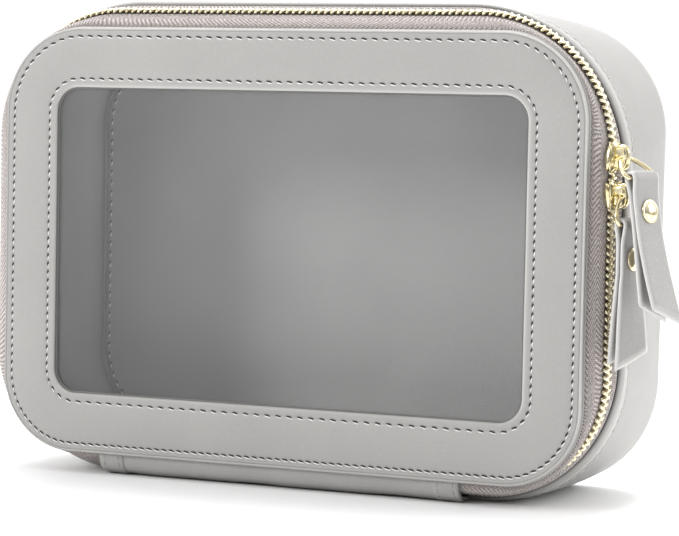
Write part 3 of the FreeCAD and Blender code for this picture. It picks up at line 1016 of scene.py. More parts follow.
# ------------------------------------------------------------------ stitches
@dataclass(frozen=True)
class StitchRow:
    """A row of lockstitch along an outline, with pitches for its top, its sides and its bottom."""

    outline: Outline
    set_back: float
    pitches: tuple[float, float, float]
    facing: Facing = Facing.FRONT
    slant: float = 12.5
    thread_width: float = 0.44
    hole_length: float = 2.1
    below: float = 0.44
    hole_width: float = 0.7
    steps: Steps = FINE

    def progress(self, ring: Ring) -> Array:
        """How many stitches have been sewn at each station, and at the end, where they are whole.

        The pitch at a station is the mean of the three, weighted by the squares of its normal.

        Args:
            ring: The row's ring.

        Returns:
            One number per station, and one for the end.
        """
        up, side = ring.normals[:, 1], ring.normals[:, 0] ** 2
        top, bottom = np.clip(up, 0.0, 1.0) ** 2, np.clip(-up, 0.0, 1.0) ** 2
        pitch = top * self.pitches[0] + side * self.pitches[1] + bottom * self.pitches[2]
        sewn = np.cumsum(np.diff(ring.stops()) / pitch)
        return np.append(0.0, sewn) * (round(float(sewn[-1])) / sewn[-1])

    def spots(self) -> tuple[Ring, Array]:
        """The row's ring and the distances of its stitches along it."""
        ring = self.outline.ring(self.steps)
        sewn = self.progress(ring)
        return ring, np.interp(np.arange(round(float(sewn[-1]))), sewn, ring.stops())

    def frames(self) -> tuple[Array, Array]:
        """Places and axes along the row: along the stitch, across it, and out of the leather.

        Each stitch is turned out of line by the slant, in degrees.

        Returns:
            Places as (k, 3) and axes as (k, 3, 3).
        """
        ring, distances = self.spots()
        flat, out, run = ring.at(distances)
        place = upright(flat, self.set_back)
        out3, run3 = stood(out), stood(run)
        across, face = {
            Facing.FRONT: (out3, np.broadcast_to(-Y_AXIS, out3.shape)),
            Facing.OUTWARD: (np.broadcast_to(Y_AXIS, out3.shape), out3),
        }[self.facing]
        turn = math.radians(self.slant)
        along = run3 * math.cos(turn) + across * math.sin(turn)
        side = across * math.cos(turn) - run3 * math.sin(turn)
        return place, self.drawn(np.stack([along, side, face], axis=1))

    def threads(self) -> Form:
        """Every thread of the row, each just under the slot that it is pulled into."""
        place, axes = self.frames()
        shape = lump(self.hole_length * 1.1, self.thread_width, self.thread_width * 0.9, 6, 6)
        drop = self.below * (1.0 + 1.3 * (1.0 - np.abs(axes[:, 0, 0])))
        place = place + np.outer(drop, [0.25, 0.0, -1.0]) + axes[:, 2] * 0.1
        return repeated(shape, place, axes)

    def drawn(self, axes: Array) -> Array:
        """Axes whose first is shortened where the row runs upright, as stitches pull in there.

        Args:
            axes: Axes as (k, 3, 3), the first along each stitch.

        Returns:
            The axes, drawn in.
        """
        flatness = np.abs(axes[:, 0, 0])
        size = np.ones((len(axes), 3, 1))
        size[:, 0, 0] = 0.58 + 0.42 * flatness
        return axes * size

    def holes(self) -> Form:
        """Every needle hole of the row: a low oval lens whose near-black finish is painted shade
        for the dark inside the hole.
        """
        place, axes = self.frames()
        shape = lump(self.hole_length, self.hole_width, 0.2, 5, 8)
        return repeated(shape, place + axes[:, 2] * 0.06, axes)


# ------------------------------------------------------------------ the lid
@dataclass(frozen=True)
class LidPanel:
    """The lid's leather frame, with its stitching, piping and inner lining."""

    inner_row: float = 3.05
    outer_row: float = -3.1
    inner_pitches: tuple[float, float, float] = (3.8, 2.95, 4.1)
    outer_pitches: tuple[float, float, float] = (3.85, 2.9, 2.9)
    groove: float = 0.16
    dent: float = 0.17
    crown: float = 0.30
    piping: float = 0.75
    piping_depth: float = 0.45
    piping_inset: float = 0.45
    piping_set_back: float = 2.55

    def build(self, wear: Wardrobe) -> None:
        """Make and dress every piece of the panel.

        Args:
            wear: The finishes.
        """
        rows = self.rows()
        threads = merged([row.threads() for row in rows])
        holes = merged([row.holes() for row in rows])
        behind = ("lid_lining", "lid_board")
        table = (
            ("lid_leather", self.leather(), wear.leather, Slot.LEATHER, "front_panel"),
            ("lid_stitches", threads, wear.thread, Slot.LEATHER),
            # Needle holes as near-black lenses: painted shade.
            ("lid_needle_hole_shades", holes, wear.needle, Slot.LEATHER),
            ("lid_piping", self.cord(), wear.leather, Slot.LEATHER, "panel_welt"),
            ("lid_inner_lining", self.lining(), wear.lining, Slot.LINING, *behind),
        )
        pieces(Body.LID, table)

    def rows(self) -> list[StitchRow]:
        """The row round the window and the row round the edge."""
        inner = WINDOW.grown(self.inner_row)
        outer = PANEL.grown(self.outer_row)
        height = self.groove - 0.02
        return [
            StitchRow(inner, height, self.inner_pitches),
            StitchRow(outer, height, self.outer_pitches),
        ]

    def near_window(self) -> Array:
        """Lines of the front from the window's wall outwards, as (offset, set-back) pairs."""
        wall = [(0.35, 1.50), (-0.55, 1.42), (-0.62, 1.12), (-0.45, 0.98)]
        wall += [(0.05, 0.95), (0.02, 0.62)]
        edge = [(0.06, 0.40), (0.20, 0.20), (0.45, 0.05), (0.85, -0.04), (1.6, -0.05), (2.3, -0.02)]
        seam = [(2.62, 0.04), (2.88, 0.12), (3.05, 0.16), (3.22, 0.12), (3.5, 0.04), (3.9, -0.05)]
        return np.array(wall + edge + seam + [(4.8, -0.14), (6.2, -0.24)])

    def near_edge(self) -> Array:
        """Lines of the front from its middle to the painted bead of its edge and round behind."""
        seam = [(-7.2, -0.22), (-5.6, -0.15), (-4.3, -0.05), (-3.6, 0.04), (-3.28, 0.12)]
        seam += [(-3.1, 0.16), (-2.92, 0.12), (-2.65, 0.05), (-2.4, 0.05)]
        roll = [(-1.5, 0.03), (-1.15, 0.06), (-0.96, 0.24), (-0.84, 0.18), (-0.66, 0.03)]
        roll += [(-0.4, -0.01), (-0.17, 0.1), (-0.03, 0.35), (0.0, 0.75)]
        roll += [(-0.03, 1.2), (-0.07, 1.6)]
        behind = [(-0.12, 1.95), (-0.6, 2.3), (-1.6, 2.6), (-3.0, 2.8), (-6.0, 2.7)]
        return np.array(seam + roll + behind)

    def leather(self) -> Form:
        """The frame as one closed skin.

        Lines near the window are offsets of its outline, lines near the edge are offsets of the
        panel's, and three lines between are straight mixtures. Each set-back gains a dent at
        every needle hole, a bell curve across the row times a squared raised cosine along it, and
        a slow ripple.
        """
        window, panel = WINDOW.ring(FINE), PANEL.ring(FINE)
        inner, outer = self.near_window(), self.near_edge()
        flat_in = window.points[:, None] + window.normals[:, None] * inner[None, :, :1]
        flat_out = panel.points[:, None] + panel.normals[:, None] * outer[None, :, :1]
        share = np.array([0.25, 0.5, 0.75])[None, :, None]
        between = flat_in[:, -1:] * (1 - share) + flat_out[:, :1] * share
        hidden = flat_in[:, :1] + window.normals[:, None] * np.array([4.0, 1.2])[None, :, None]
        flat = np.concatenate([flat_in, between, flat_out, hidden], axis=1)
        back = np.concatenate([inner[:, 1], np.full(3, -self.crown), outer[:, 1], [2.2, 1.9]])
        grid = upright(flat, back[None, :])
        rows = self.rows()
        dents = [
            self.dents(rows[0], inner[:, 0] - self.inner_row),
            np.zeros((len(flat), 3)),
            self.dents(rows[1], outer[:, 0] - self.outer_row),
            np.zeros((len(flat), 2)),
        ]
        dents = np.concatenate(dents, axis=1)
        dents[:, :8] *= 0.5
        grid[..., 1] += self.dent * dents + 0.07 * ripple(grid, 47.0, 1.3) * (back < 1.0)
        # Paler bands on the window's rounded edge and on the bead of the outer edge: partly rubbed
        # edges, partly painted highlight.
        edge = np.concatenate([np.zeros(6), [0.3, 0.75, 0.6, 0.2], np.zeros(10)])
        bead_rub_and_highlight = np.exp(-(((np.arange(len(outer)) - 14.5) / 1.5) ** 2)) * 0.8
        wear = np.concatenate([edge, np.zeros(3), bead_rub_and_highlight, np.zeros(2)])
        # Painted shade in the window's wall, at the needle-hole dents, in a thin line inside the
        # edge's bead, and behind the edge.
        crease = np.zeros(len(back))
        crease[[1, 2, 3, 4, 5]] = (0.3, 0.9, 1.0, 1.0, 0.9)
        crease[len(inner) + 3 + 11] = 0.55
        crease[len(inner) + 3 + len(outer) - 5 :] = 0.8
        # Painted highlight: the paler bands fade on the lower and left sides, which face away from
        # the light.
        facing_away_from_light = np.maximum(-panel.normals[:, 1], -panel.normals[:, 0])
        fade = 1.0 - 0.85 * np.clip(facing_away_from_light, 0.0, 1.0)
        marks = {
            "wear": wear[None, :] * fade[:, None],
            "crease": np.clip(crease[None, :] + 0.35 * dents, 0.0, 1.0),
        }
        return skinned(grid, tags=marks)

    def dents(self, row: StitchRow, away: Array) -> Array:
        """Depth of the dents from 0 to 1, at each station and at distances away from a row.

        Args:
            row: The row of stitches.
            away: Distances from it.

        Returns:
            One number per station and distance.
        """
        along = 0.5 + 0.5 * np.cos(row.progress(row.outline.ring(FINE))[:-1] * math.tau)
        return along[:, None] ** 2 * np.exp(-((away / 0.55) ** 2))[None, :]

    def cord(self) -> Form:
        """Piping between the panel and the tape: an oval rod along the panel's edge."""
        edge = PANEL.grown(-self.piping_inset)
        return ring_rod(edge, self.piping_set_back, self.piping, self.piping_depth, MEDIUM)

    def lining(self) -> Form:
        """Lining frame inside the lid, turned in at the window and rolled at its outer edge."""
        profile = [(-3.9, 2.75), (-3.5, 3.05), (-4.0, 3.4), (-6.0, 3.5)]
        turned = [(1.6, 3.35), (0.7, 3.2), (0.45, 2.9), (0.6, 2.62), (2.0, 2.55)]
        outer = [(PANEL.grown(offset), back) for offset, back in profile]
        inner = [(WINDOW.grown(offset), back) for offset, back in turned]
        return lofted(outer + inner, MEDIUM, grown_by=0.12)


def ring_rod(
    outline: Outline, set_back: float, radius: float, deep: float, steps: Steps, sides: int = 12
) -> Form:
    """A rod along an outline.

    Args:
        outline: The outline that it follows.
        set_back: Its middle's set-back.
        radius: Half its size across the outline.
        deep: Half its size from front to back.
        steps: How finely the outline is divided.
        sides: Points round the rod.

    Returns:
        The rod.
    """
    ring = outline.ring(steps)
    path = upright(ring.points, set_back)
    return tube(path, stood(ring.normals), radius, deep, sides, True)


def lofted(
    courses: Sequence[tuple[Outline, float]],
    steps: Steps,
    grown_by: float = 0.0,
    poles: bool = False,
    tags: dict[str, Sequence[float]] | None = None,
    floor: bool = False,
) -> Form:
    """A skin through outlines at set-backs, each station joined to the same one on the next.

    Args:
        courses: Outlines and set-backs in order round the section.
        steps: How finely each outline is divided.
        grown_by: Size of the slow ripple added along Y.
        poles: Whether the first and last outlines are closed over, instead of joined.
        tags: One number per outline under each name.
        floor: Whether the skin rests on the floor, so that nothing hangs below it.

    Returns:
        The closed form, with flat coordinates along and across it.
    """
    rings = [outline.ring(steps) for outline, _ in courses]
    grid = np.stack([upright(r.points, c[1]) for r, c in zip(rings, courses)], axis=1)
    if grown_by:
        grid[..., 1] += grown_by * ripple(grid, 41.0, len(courses))
    if floor:
        grid[..., 2] = np.maximum(grid[..., 2], 0.0)
    uv = flat_map(grid, rings[0].stops())
    marks = {name: np.broadcast_to(v, grid.shape[:2]) for name, v in (tags or {}).items()}
    return skinned(grid, ends=Ends.ACROSS if poles else Ends.NONE, uv=uv, tags=marks)


def shrunk(outline: Outline, share: float) -> Outline:
    """The outline drawn towards its own centre.

    Args:
        outline: The outline.
        share: Its new size, as a share of the old.

    Returns:
        The smaller outline.
    """
    middle = (outline.top + outline.bottom) / 2
    tall = (outline.top - outline.bottom) / 2 * share
    return Outline(
        outline.half_width * share, middle - tall, middle + tall,
        outline.top_radius * share, outline.bottom_radius * share,
    )


@dataclass(frozen=True)
class Window:
    """The clear sheet, slightly slack in its frame."""

    lap: float = 4.0
    face: float = 1.62
    sheet: float = 0.4
    slack: float = 0.3

    def build(self, wear: Wardrobe) -> None:
        """Make and dress the sheet.

        Args:
            wear: The finishes.
        """
        row = ("window_vinyl", self.clear(), wear.vinyl, Slot.VINYL, "window_sheet")
        pieces(Body.LID, (row,))

    def clear(self) -> Form:
        """Two faces of nested outlines, joined at the rim and closed at the middle.

        The sheet sags backwards by a slow ripple that fades to nothing at its rim.
        """
        shares = np.linspace(0.02, 1.0, 26)
        outline = WINDOW.grown(self.lap)
        courses = [(shrunk(outline, s), self.face) for s in shares]
        courses += [(shrunk(outline, s), self.face + self.sheet) for s in shares[::-1]]
        form = lofted(courses, COARSE, poles=True)
        fade = 1.0 - np.concatenate([shares, shares[::-1]]) ** 6
        fade = np.tile(fade, len(form.points) // len(fade))
        form.points[:, 1] += self.slack * fade * (0.6 + ripple(form.points, 120.0, 0.7))
        return form


# ------------------------------------------------------------------ the zip
@dataclass(frozen=True)
class Zip:
    """Both halves of the zip: coils that interlock, on tapes that flare to the panel and rim."""

    tilt: float = 15.0
    pitch: float = 2.38
    reach: float = 1.05
    centre: float = 0.72
    rise: float = 0.52
    wire: float = 0.5
    outwards: float = 0.4
    backwards: float = 0.45
    tuck: float = 1.7
    turn_points: int = 14
    sides: int = 6
    tape: float = 0.6

    def build(self, wear: Wardrobe) -> None:
        """Make and dress both tapes and both coils.

        Args:
            wear: The finishes.
        """
        tape, coil = (wear.tape, Slot.TAPE), (wear.coil, Slot.COIL)
        rows = (
            (Body.LID, "front_zip_tape", self.front_tape(), *tape, "front_tape"),
            (Body.CASE, "rear_zip_tape", self.rear_tape(), *tape, "rear_tape"),
            (Body.LID, "front_zip_coil", self.coil(-1.0), *coil, "front_coil"),
            (Body.CASE, "rear_zip_coil", self.coil(1.0), *coil, "rear_coil"),
        )
        for body, *row in rows:
            pieces(body, (row,))

    def coil(self, side: float) -> Form:
        """One continuous wire, wound flat: an oval helix along the chain's outline.

        Each turn runs across the tape on the outside, round a head at the middle of the zip and
        back beneath. Side is -1 for the front half and 1 for the rear, whose heads fall halfway
        between the front's.

        Args:
            side: Which half.

        Returns:
            The wire.
        """
        ring = CHAIN.ring(FINE)
        start = HINGE_REACH - 2.0
        turns = int((ring.total - 2 * start) / self.pitch) - 1
        phase = np.arange(turns * self.turn_points) / self.turn_points * math.tau
        along = start + self.pitch * (phase / math.tau + (0.25 if side > 0 else 0.75))
        flat, out, run = ring.at(along)
        under = np.clip(-out[:, 1], 0.0, 1.0) ** 2 + np.clip(-out[:, 0], 0.0, 1.0) ** 2
        flat = flat + out * (self.outwards - (self.outwards + self.tuck) * under)[:, None]
        turn = (math.radians(self.tilt) * (1.0 - under))[:, None]
        out3, run3 = stood(out), stood(run)
        lift = out3 * np.cos(turn) - Y_AXIS * np.sin(turn)
        across = out3 * np.sin(turn) + Y_AXIS * np.cos(turn)
        wide = side * (self.centre - self.reach * np.cos(phase))
        path = upright(flat, CHAIN_SET_BACK + self.backwards) + across * wide[:, None]
        path = path + lift * (self.rise * np.sin(phase))[:, None]
        head = 1.0 + 0.3 * np.clip(np.cos(phase), 0.0, 1.0)
        form = tube(path, run3, self.wire * head * 1.12, self.wire * 0.92, self.sides, False)
        # Painted shade on the half of each turn that lies low against the tape.
        low = np.repeat(np.clip(0.25 - np.sin(phase) * 0.4, 0.0, 1.0), self.sides)
        return form.tagged("crease", low)

    def strip(
        self, lines: list[tuple[Outline, float]], tags: list[float], drops: list[float]
    ) -> Form:
        """A tape through outlines at set-backs, left open where the hinge takes its place.

        The lines give its outer face, and its inner face is the same, pulled in by its thickness.

        Args:
            lines: Outlines and set-backs across the tape.
            tags: How much painted shade each line gets.
            drops: How far each line bulges under the right half of the case and at its left.

        Returns:
            The closed form.
        """
        inner = [(outline.grown(-self.tape), back + 0.1) for outline, back in reversed(lines)]
        rings = [outline.ring(FINE) for outline, _ in lines + inner]
        grid = np.stack([upright(r.points, c[1]) for r, c in zip(rings, lines + inner)], axis=1)
        x, low = grid[:, 0, 0], grid[:, 0, 2] < 30.0
        keep = ~((x > 0.8 - HINGE_REACH) & (x < HINGE_REACH - 5.2) & low)
        out = rings[0].normals
        under = np.clip(-out[:, 1], 0.0, 1.0) ** 2 * (x > 0.0) + np.clip(-out[:, 0], 0.0, 1.0) ** 2
        push = under[:, None] * np.array(drops + drops[::-1])[None, :]
        grid[..., 0] += out[:, :1] * push
        grid[..., 2] += out[:, 1:] * push
        grid = grid[keep]
        chain = CHAIN.ring(FINE)
        uv = flat_map(grid, np.append(chain.lengths[keep], chain.total))
        marks = {"crease": np.broadcast_to(tags + tags[::-1], grid.shape[:2])}
        return skinned(grid, closed=False, ends=Ends.ALONG, uv=uv, tags=marks)

    def front_tape(self) -> Form:
        """From under the panel's edge, out and back to beneath the front coil."""
        end = CHAIN.grown(-1.0)
        lines = [
            (PANEL.grown(-1.8), 2.75),
            (PANEL.grown(-0.7), 2.85),
            (PANEL.mixed(end, 0.1).grown(0.3), 3.15),
            (PANEL.mixed(end, 0.4).grown(0.5), 4.2),
            (PANEL.mixed(end, 0.75).grown(0.4), 5.6),
            (end, 6.7),
            (CHAIN.grown(-0.6), 8.5),
        ]
        # Painted shade where the tape tucks under the panel's edge and beneath the coil.
        tags = [1.0, 0.7, 0.2, 0.0, 0.0, 0.05, 0.25]
        return self.strip(lines, tags, [0.0, 0.0, 0.5, 1.3, 1.8, 1.2, 0.0])

    def rear_tape(self) -> Form:
        """From beneath the rear coil, out to the rim and down into the fold before it, darkened
        there by painted shade.
        """
        lines = [
            (CHAIN.grown(-0.5), 8.95),
            (CHAIN.grown(0.1), 10.4),
            (CHAIN.grown(0.9), 11.4),
            (CHAIN.mixed(RIM, 0.8).grown(0.4), 12.5),
            (RIM.grown(0.05), 13.3),
            (RIM.grown(-0.2), 13.8),
            (RIM.grown(-2.2), 14.0),
        ]
        return self.strip(lines, [0.25, 0.05, 0.0, 0.0, 0.0, 0.7, 1.0], [0.0] * 7)


# ------------------------------------------------------------------ the box behind the lid
@dataclass(frozen=True)
class Box:
    """Rim, side wall and back of the box, in leather."""

    rim_radius: float = 1.75
    rim_depth: float = 2.4
    rim_shift: float = 0.9
    leather: float = 1.2
    roll: float = 3.0
    back_crown: float = 0.25
    bulge: float = 0.7
    topstitch: float = 23.2
    stitch_pitch: float = 3.6
    mouth: float = 17.5

    def build(self, wear: Wardrobe) -> None:
        """Make and dress every piece of the box.

        Args:
            wear: The finishes.
        """
        place = RIM_SET_BACK + self.rim_shift
        rim = ring_rod(RIM, place, self.rim_radius, self.rim_depth, FINE, 16)
        # Painted shadow: the front of the rim roll, facing the tape, is made nearly black; the
        # whole roll is also tagged a little paler.
        ahead = float(depth(place - self.rim_depth)) - rim.points[:, 1]
        rim = rim.tagged("wear", 0.12).tagged("gap", np.clip(0.85 + ahead * 3.0, 0.0, 1.0))
        row = self.row()
        table = (
            ("rim_roll", rim, wear.leather, Slot.LEATHER, "rim_bead"),
            ("gusset_leather", self.wall(), wear.leather, Slot.LEATHER, "gusset"),
            ("back_leather", self.back(), wear.leather, Slot.LEATHER, "back_panel"),
            ("rim_stitches", row.threads(), wear.thread, Slot.LEATHER),
            # Needle holes as near-black lenses: painted shade.
            ("rim_needle_hole_shades", row.holes(), wear.needle, Slot.LEATHER),
        )
        pieces(Body.CASE, table)

    def front(self) -> Outline:
        """Outline of the wall's front edge."""
        return outline_of("gusset", 0.0, 54.0, 46.0)

    def at(self, set_back: float) -> Outline:
        """Outline of the wall at a set-back: a straight taper with a shallow sine bulge.

        Args:
            set_back: The set-back.

        Returns:
            The outline.
        """
        share = (set_back - self.mouth) / (CASE_DEPTH - self.roll - self.mouth)
        swell = self.bulge * math.sin(math.pi * min(max(share, 0.0), 1.0))
        return self.front().mixed(BACK, share).grown(swell)

    def wall(self) -> Form:
        """Side wall: its outer face, rolled back edge and inner face."""
        backs = [17.6, 18.6, 19.1, 19.6, self.topstitch - 0.8, self.topstitch]
        backs += [self.topstitch + 0.8, 26.0, 30.0, 35.0, 40.0, 46.0, 52.0, 58.0, 62.0, 65.0, 67.0]
        dips = {17.6: -1.7, 18.6: -0.75, 19.1: -0.15, 19.6: 0.08, self.topstitch: -0.12}
        courses = [(self.at(s).grown(dips.get(s, 0.0)), s) for s in backs]
        roll = [(0.0, 67.9), (-0.35, 68.6), (-0.95, 69.0), (-1.6, 68.8), (-1.9, 67.8)]
        courses += [(BACK.grown(inset), s) for inset, s in roll]
        inner = [(self.at(s).grown(-self.leather - 0.3), s) for s in (60.0, 40.0, 20.0)]
        courses += inner + [(self.at(17.0).grown(-2.2), 17.0)]
        count = len(courses)
        # Painted shade where the wall dips behind the rim and where its back edge rolls inwards;
        # paler bands at the turned front edge and rolled back edge are partly rubbed, partly
        # painted highlight.
        crease = [0.9, 0.5, 0.1] + [0.0] * (count - 3)
        crease[len(backs) + 3 : len(backs) + 5] = [0.6, 0.9]
        wear = [0.0] * count
        wear[2:5] = [0.5, 0.8, 0.2]
        wear[len(backs) - 1 : len(backs) + 3] = [0.15, 0.35, 0.45, 0.2]
        form = lofted(courses, FINE, tags={"crease": crease, "wear": wear})
        outward = 0.22 * ripple(form.points, 62.0, 2.2)
        middle = np.array([0.0, form.points[:, 1].mean(), (RIM.top + RIM.bottom) / 2])
        away = form.points - middle
        away[:, 1] = 0.0
        form.points += unit(away) * outward[:, None]
        return form

    def back(self) -> Form:
        """Back: a rolled rim that turns in at the seam, and a slightly crowned middle."""
        angle = np.radians(np.linspace(0.0, 90.0, 9))
        rim = [
            (BACK.grown(-1.5 - 2.6 * (1.0 - math.cos(a))), 68.4 + 2.5 * math.sin(a)) for a in angle
        ]
        inside = BACK.grown(-4.6)
        shares = np.linspace(0.96, 0.02, 18)
        crown = [
            (shrunk(inside, s), CASE_DEPTH - 0.1 + self.back_crown * (1.0 - s * s)) for s in shares
        ]
        hidden = [(shrunk(inside, s), 69.4) for s in (0.02, 0.5, 0.98)]
        courses = hidden + [(BACK.grown(-3.2), 68.2), (BACK.grown(-1.9), 68.0)] + rim + crown
        # Painted shade where the back turns in at the seam; a paler band round its rolled rim is
        # partly rubbed, partly painted highlight.
        crease = [1.0] * 5 + [0.8, 0.4, 0.1] + [0.0] * (len(courses) - 8)
        wear = [0.0] * 8 + [0.2, 0.35, 0.4, 0.3, 0.15] + [0.0] * (len(courses) - 13)
        return lofted(
            courses, MEDIUM, 0.1, poles=True, tags={"crease": crease, "wear": wear}, floor=True
        )

    def row(self) -> StitchRow:
        """Topstitching that holds the rim's turned edge."""
        outline = self.at(self.topstitch).grown(0.02)
        return StitchRow(
            outline, self.topstitch, (self.stitch_pitch,) * 3, Facing.OUTWARD,
            slant=5.0, thread_width=0.4, hole_length=1.9, below=0.0, hole_width=0.2,
        )


@dataclass(frozen=True)
class Interior:
    """Lining of the box: wall, back and the stitched seam between them."""

    inset: float = 3.1
    behind: float = 66.6
    seam_inset: float = 9.5
    seam_set_back: float = 64.4
    piping: float = 0.7
    stitch_inset: float = 2.0
    stitch_pitch: float = 3.8

    def build(self, wear: Wardrobe, box: Box) -> None:
        """Make and dress the lining.

        Args:
            wear: The finishes.
            box: The box that it lines.
        """
        nodes = ("gusset_lining", "gusset_board", "back_lining", "back_board")
        seam = BACK.grown(-self.seam_inset)
        piping = ring_rod(seam, self.seam_set_back - 0.2, self.piping, self.piping, MEDIUM, 8)
        stitched = seam.grown(-self.stitch_inset)
        row = StitchRow(stitched, self.seam_set_back + 0.55, (self.stitch_pitch,) * 3)
        table = (
            ("box_lining", self.tub(box), wear.lining, Slot.LINING, *nodes),
            # The seam's piping is darkened by painted shade.
            ("lining_piping", piping.tagged("crease", 0.6), wear.lining, Slot.LINING),
            ("lining_stitches", row.threads(), wear.thread, Slot.LINING),
            # Needle holes as near-black lenses: painted shade.
            ("lining_needle_hole_shades", row.holes(), wear.needle, Slot.LINING),
        )
        pieces(Body.CASE, table)

    def tub(self, box: Box) -> Form:
        """One skin: wall from the rim to the back, corner, seam and back, with a thickness.

        Args:
            box: The box that it lines.

        Returns:
            The skin.
        """
        wall = [(box.at(s).grown(-self.inset), s) for s in (18.0, 24.0, 34.0, 46.0, 56.0)]
        corner = [(-4.2, 60.0), (-5.4, 62.4), (-7.2, 64.0), (-8.9, 64.8)]
        corner += [(-9.5, 65.1), (-10.2, 64.9)]
        front = [(BACK.grown(inset), s) for inset, s in corner]
        base = BACK.grown(-12.0)
        middle = [(shrunk(base, s), 65.0) for s in (1.0, 0.9, 0.7, 0.4, 0.15, 0.02)]
        behind = [(shrunk(base, s), self.behind) for s in (0.02, 0.5, 1.0)]
        outer = [(BACK.grown(-3.0), 66.4), (box.at(56.0).grown(-2.2), 56.0)]
        outer += [(box.at(s).grown(-2.2), s) for s in (36.0, 18.0)]
        shape = middle[::-1] + front[::-1] + wall[::-1] + outer[::-1] + behind[::-1]
        # Painted shade in the corner between the wall and the back.
        crease = [0.0] * len(middle) + [0.5, 1.0, 0.7, 0.3, 0.1, 0.0]
        crease += [0.0] * (len(shape) - len(crease))
        return lofted(shape, MEDIUM, 0.12, poles=True, tags={"crease": crease})


# ------------------------------------------------------------------ the hinge
@dataclass(frozen=True)
class Hinge:
    """Leather strip that joins the lid to the box underneath, with a folded pad at each end."""

    left: float = -70.0
    right: float = 65.5
    leather: float = 1.3
    pad_length: float = 9.5
    pad: float = 0.85
    pad_lift: float = 0.35
    stitch_pitch: float = 2.6

    def build(self, wear: Wardrobe) -> None:
        """Make and dress the strip, its pads and their stitches across the joint.

        Args:
            wear: The finishes.
        """
        nodes = (
            "hinge_leaf_lid", "hinge_leaf_case", "hinge_facing", "zip_tab_left", "zip_tab_right",
        )
        strip = self.strip(self.left, self.right, self.leather, 0.0, 90)
        made = [piece("hinge_strip", strip, Dress(wear.leather, Slot.LEATHER, None, nodes))]
        inner = self.left + self.pad_length, self.right - self.pad_length
        spans = ((self.left, inner[0]), (inner[1], self.right))
        ends = [self.strip(a, b, self.pad, self.leather * self.pad_lift, 14) for a, b in spans]
        made.append(piece("hinge_end_pads", merged(ends), Dress(wear.leather, Slot.LEATHER)))
        made.append(piece("hinge_stitches", self.stitches(), Dress(wear.leather, Slot.LEATHER)))
        for part in made:
            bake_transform(part)

    def line(self) -> tuple[Array, Array]:
        """The strip's middle line as (set-back, height), smoothed, and its outward normals."""
        knots = np.array(
            [(2.5, 7.9), (2.5, 6.6), (2.75, 5.2), (3.5, 3.6), (4.8, 2.2), (6.8, 1.2), (10.0, 0.75),
             (14.0, 0.7), (17.2, 0.72)]
        )
        share = np.linspace(0.0, len(knots) - 1.0, 33)
        kernel = np.maximum(0.0, 1.0 - np.abs(share[:, None] - np.arange(len(knots))[None, :]))
        line = kernel @ knots
        inner = (line[:-2] + 2 * line[1:-1] + line[2:]) / 4
        line = np.vstack([line[:1], inner, line[-1:]])
        run = unit(np.gradient(line, axis=0))
        return line, np.stack([run[:, 1], -run[:, 0]], axis=1)

    def strip(self, left: float, right: float, thick: float, outwards: float, count: int) -> Form:
        """A slab of leather along the middle line between two places across.

        Its outer face bellies slightly, by two slow sines, and thins towards both ends as a low
        power of 1 less the square of the distance from the middle.

        Args:
            left: Where it starts.
            right: Where it ends.
            thick: Its thickness.
            outwards: How far outside the middle line it lies.
            count: Stations across it.

        Returns:
            The closed form.
        """
        line, normal = self.line()
        x = np.linspace(left, right, count)
        share = np.linspace(-1.0, 1.0, count)
        full = np.clip(1.0 - share**2, 0.0, 1.0) ** 0.12
        full = 0.35 + 0.65 * full
        outer = outwards + thick * 0.5 * full
        wave = 0.12 * np.sin(x / 9.0) + 0.08 * np.sin(x / 4.1 + 1.0)
        half = len(line)
        grid = np.zeros((count, 2 * half, 3))
        grid[..., 0] = x[:, None]
        for rows, side in ((slice(0, half), 1.0), (slice(2 * half - 1, half - 1, -1), -1.0)):
            push = side * outer + (wave if thick > 1.0 else 0.0) * (side > 0)
            if side < 0:
                push = np.full(count, outwards - thick * 0.5)
            grid[:, rows, 1] = depth(line[None, :, 0] + push[:, None] * normal[None, :, 0])
            grid[:, rows, 2] = line[None, :, 1] + push[:, None] * normal[None, :, 1]
        # Painted shade, darker towards the bottom of the strip near the floor.
        shade = np.clip((2.6 - grid[..., 2]) / 2.2, 0.0, 0.85)
        return skinned(grid, closed=False, ends=Ends.ALONG, tags={"crease": shade})

    def stitches(self) -> Form:
        """Two short rows of stitches down each folded end."""
        line, normal = self.line()
        far = distances_along(line)
        spots = np.arange(1.2, far[-1] - 3.5, self.stitch_pitch)
        out = unit(looked_up(spots, far, normal))
        place = looked_up(spots, far, line) + out * (self.leather * self.pad_lift + self.pad * 0.5)
        zero = np.zeros(len(spots))
        run3 = np.stack([zero, out[:, 1], -out[:, 0]], axis=1)
        out3 = np.stack([zero, out[:, 0], out[:, 1]], axis=1)
        side = np.cross(out3, run3)
        shape = lump(self.stitch_pitch - 0.5, 0.45, 0.4, 6, 6)
        forms = []
        for x in (self.left + 2, self.left + 7.5, self.right - 7.5, self.right - 2):
            origin = np.stack([np.full(len(spots), x), depth(place[:, 0]), place[:, 1]], axis=1)
            forms.append(repeated(shape, origin, np.stack([run3, side, out3], axis=1)))
        return merged(forms)


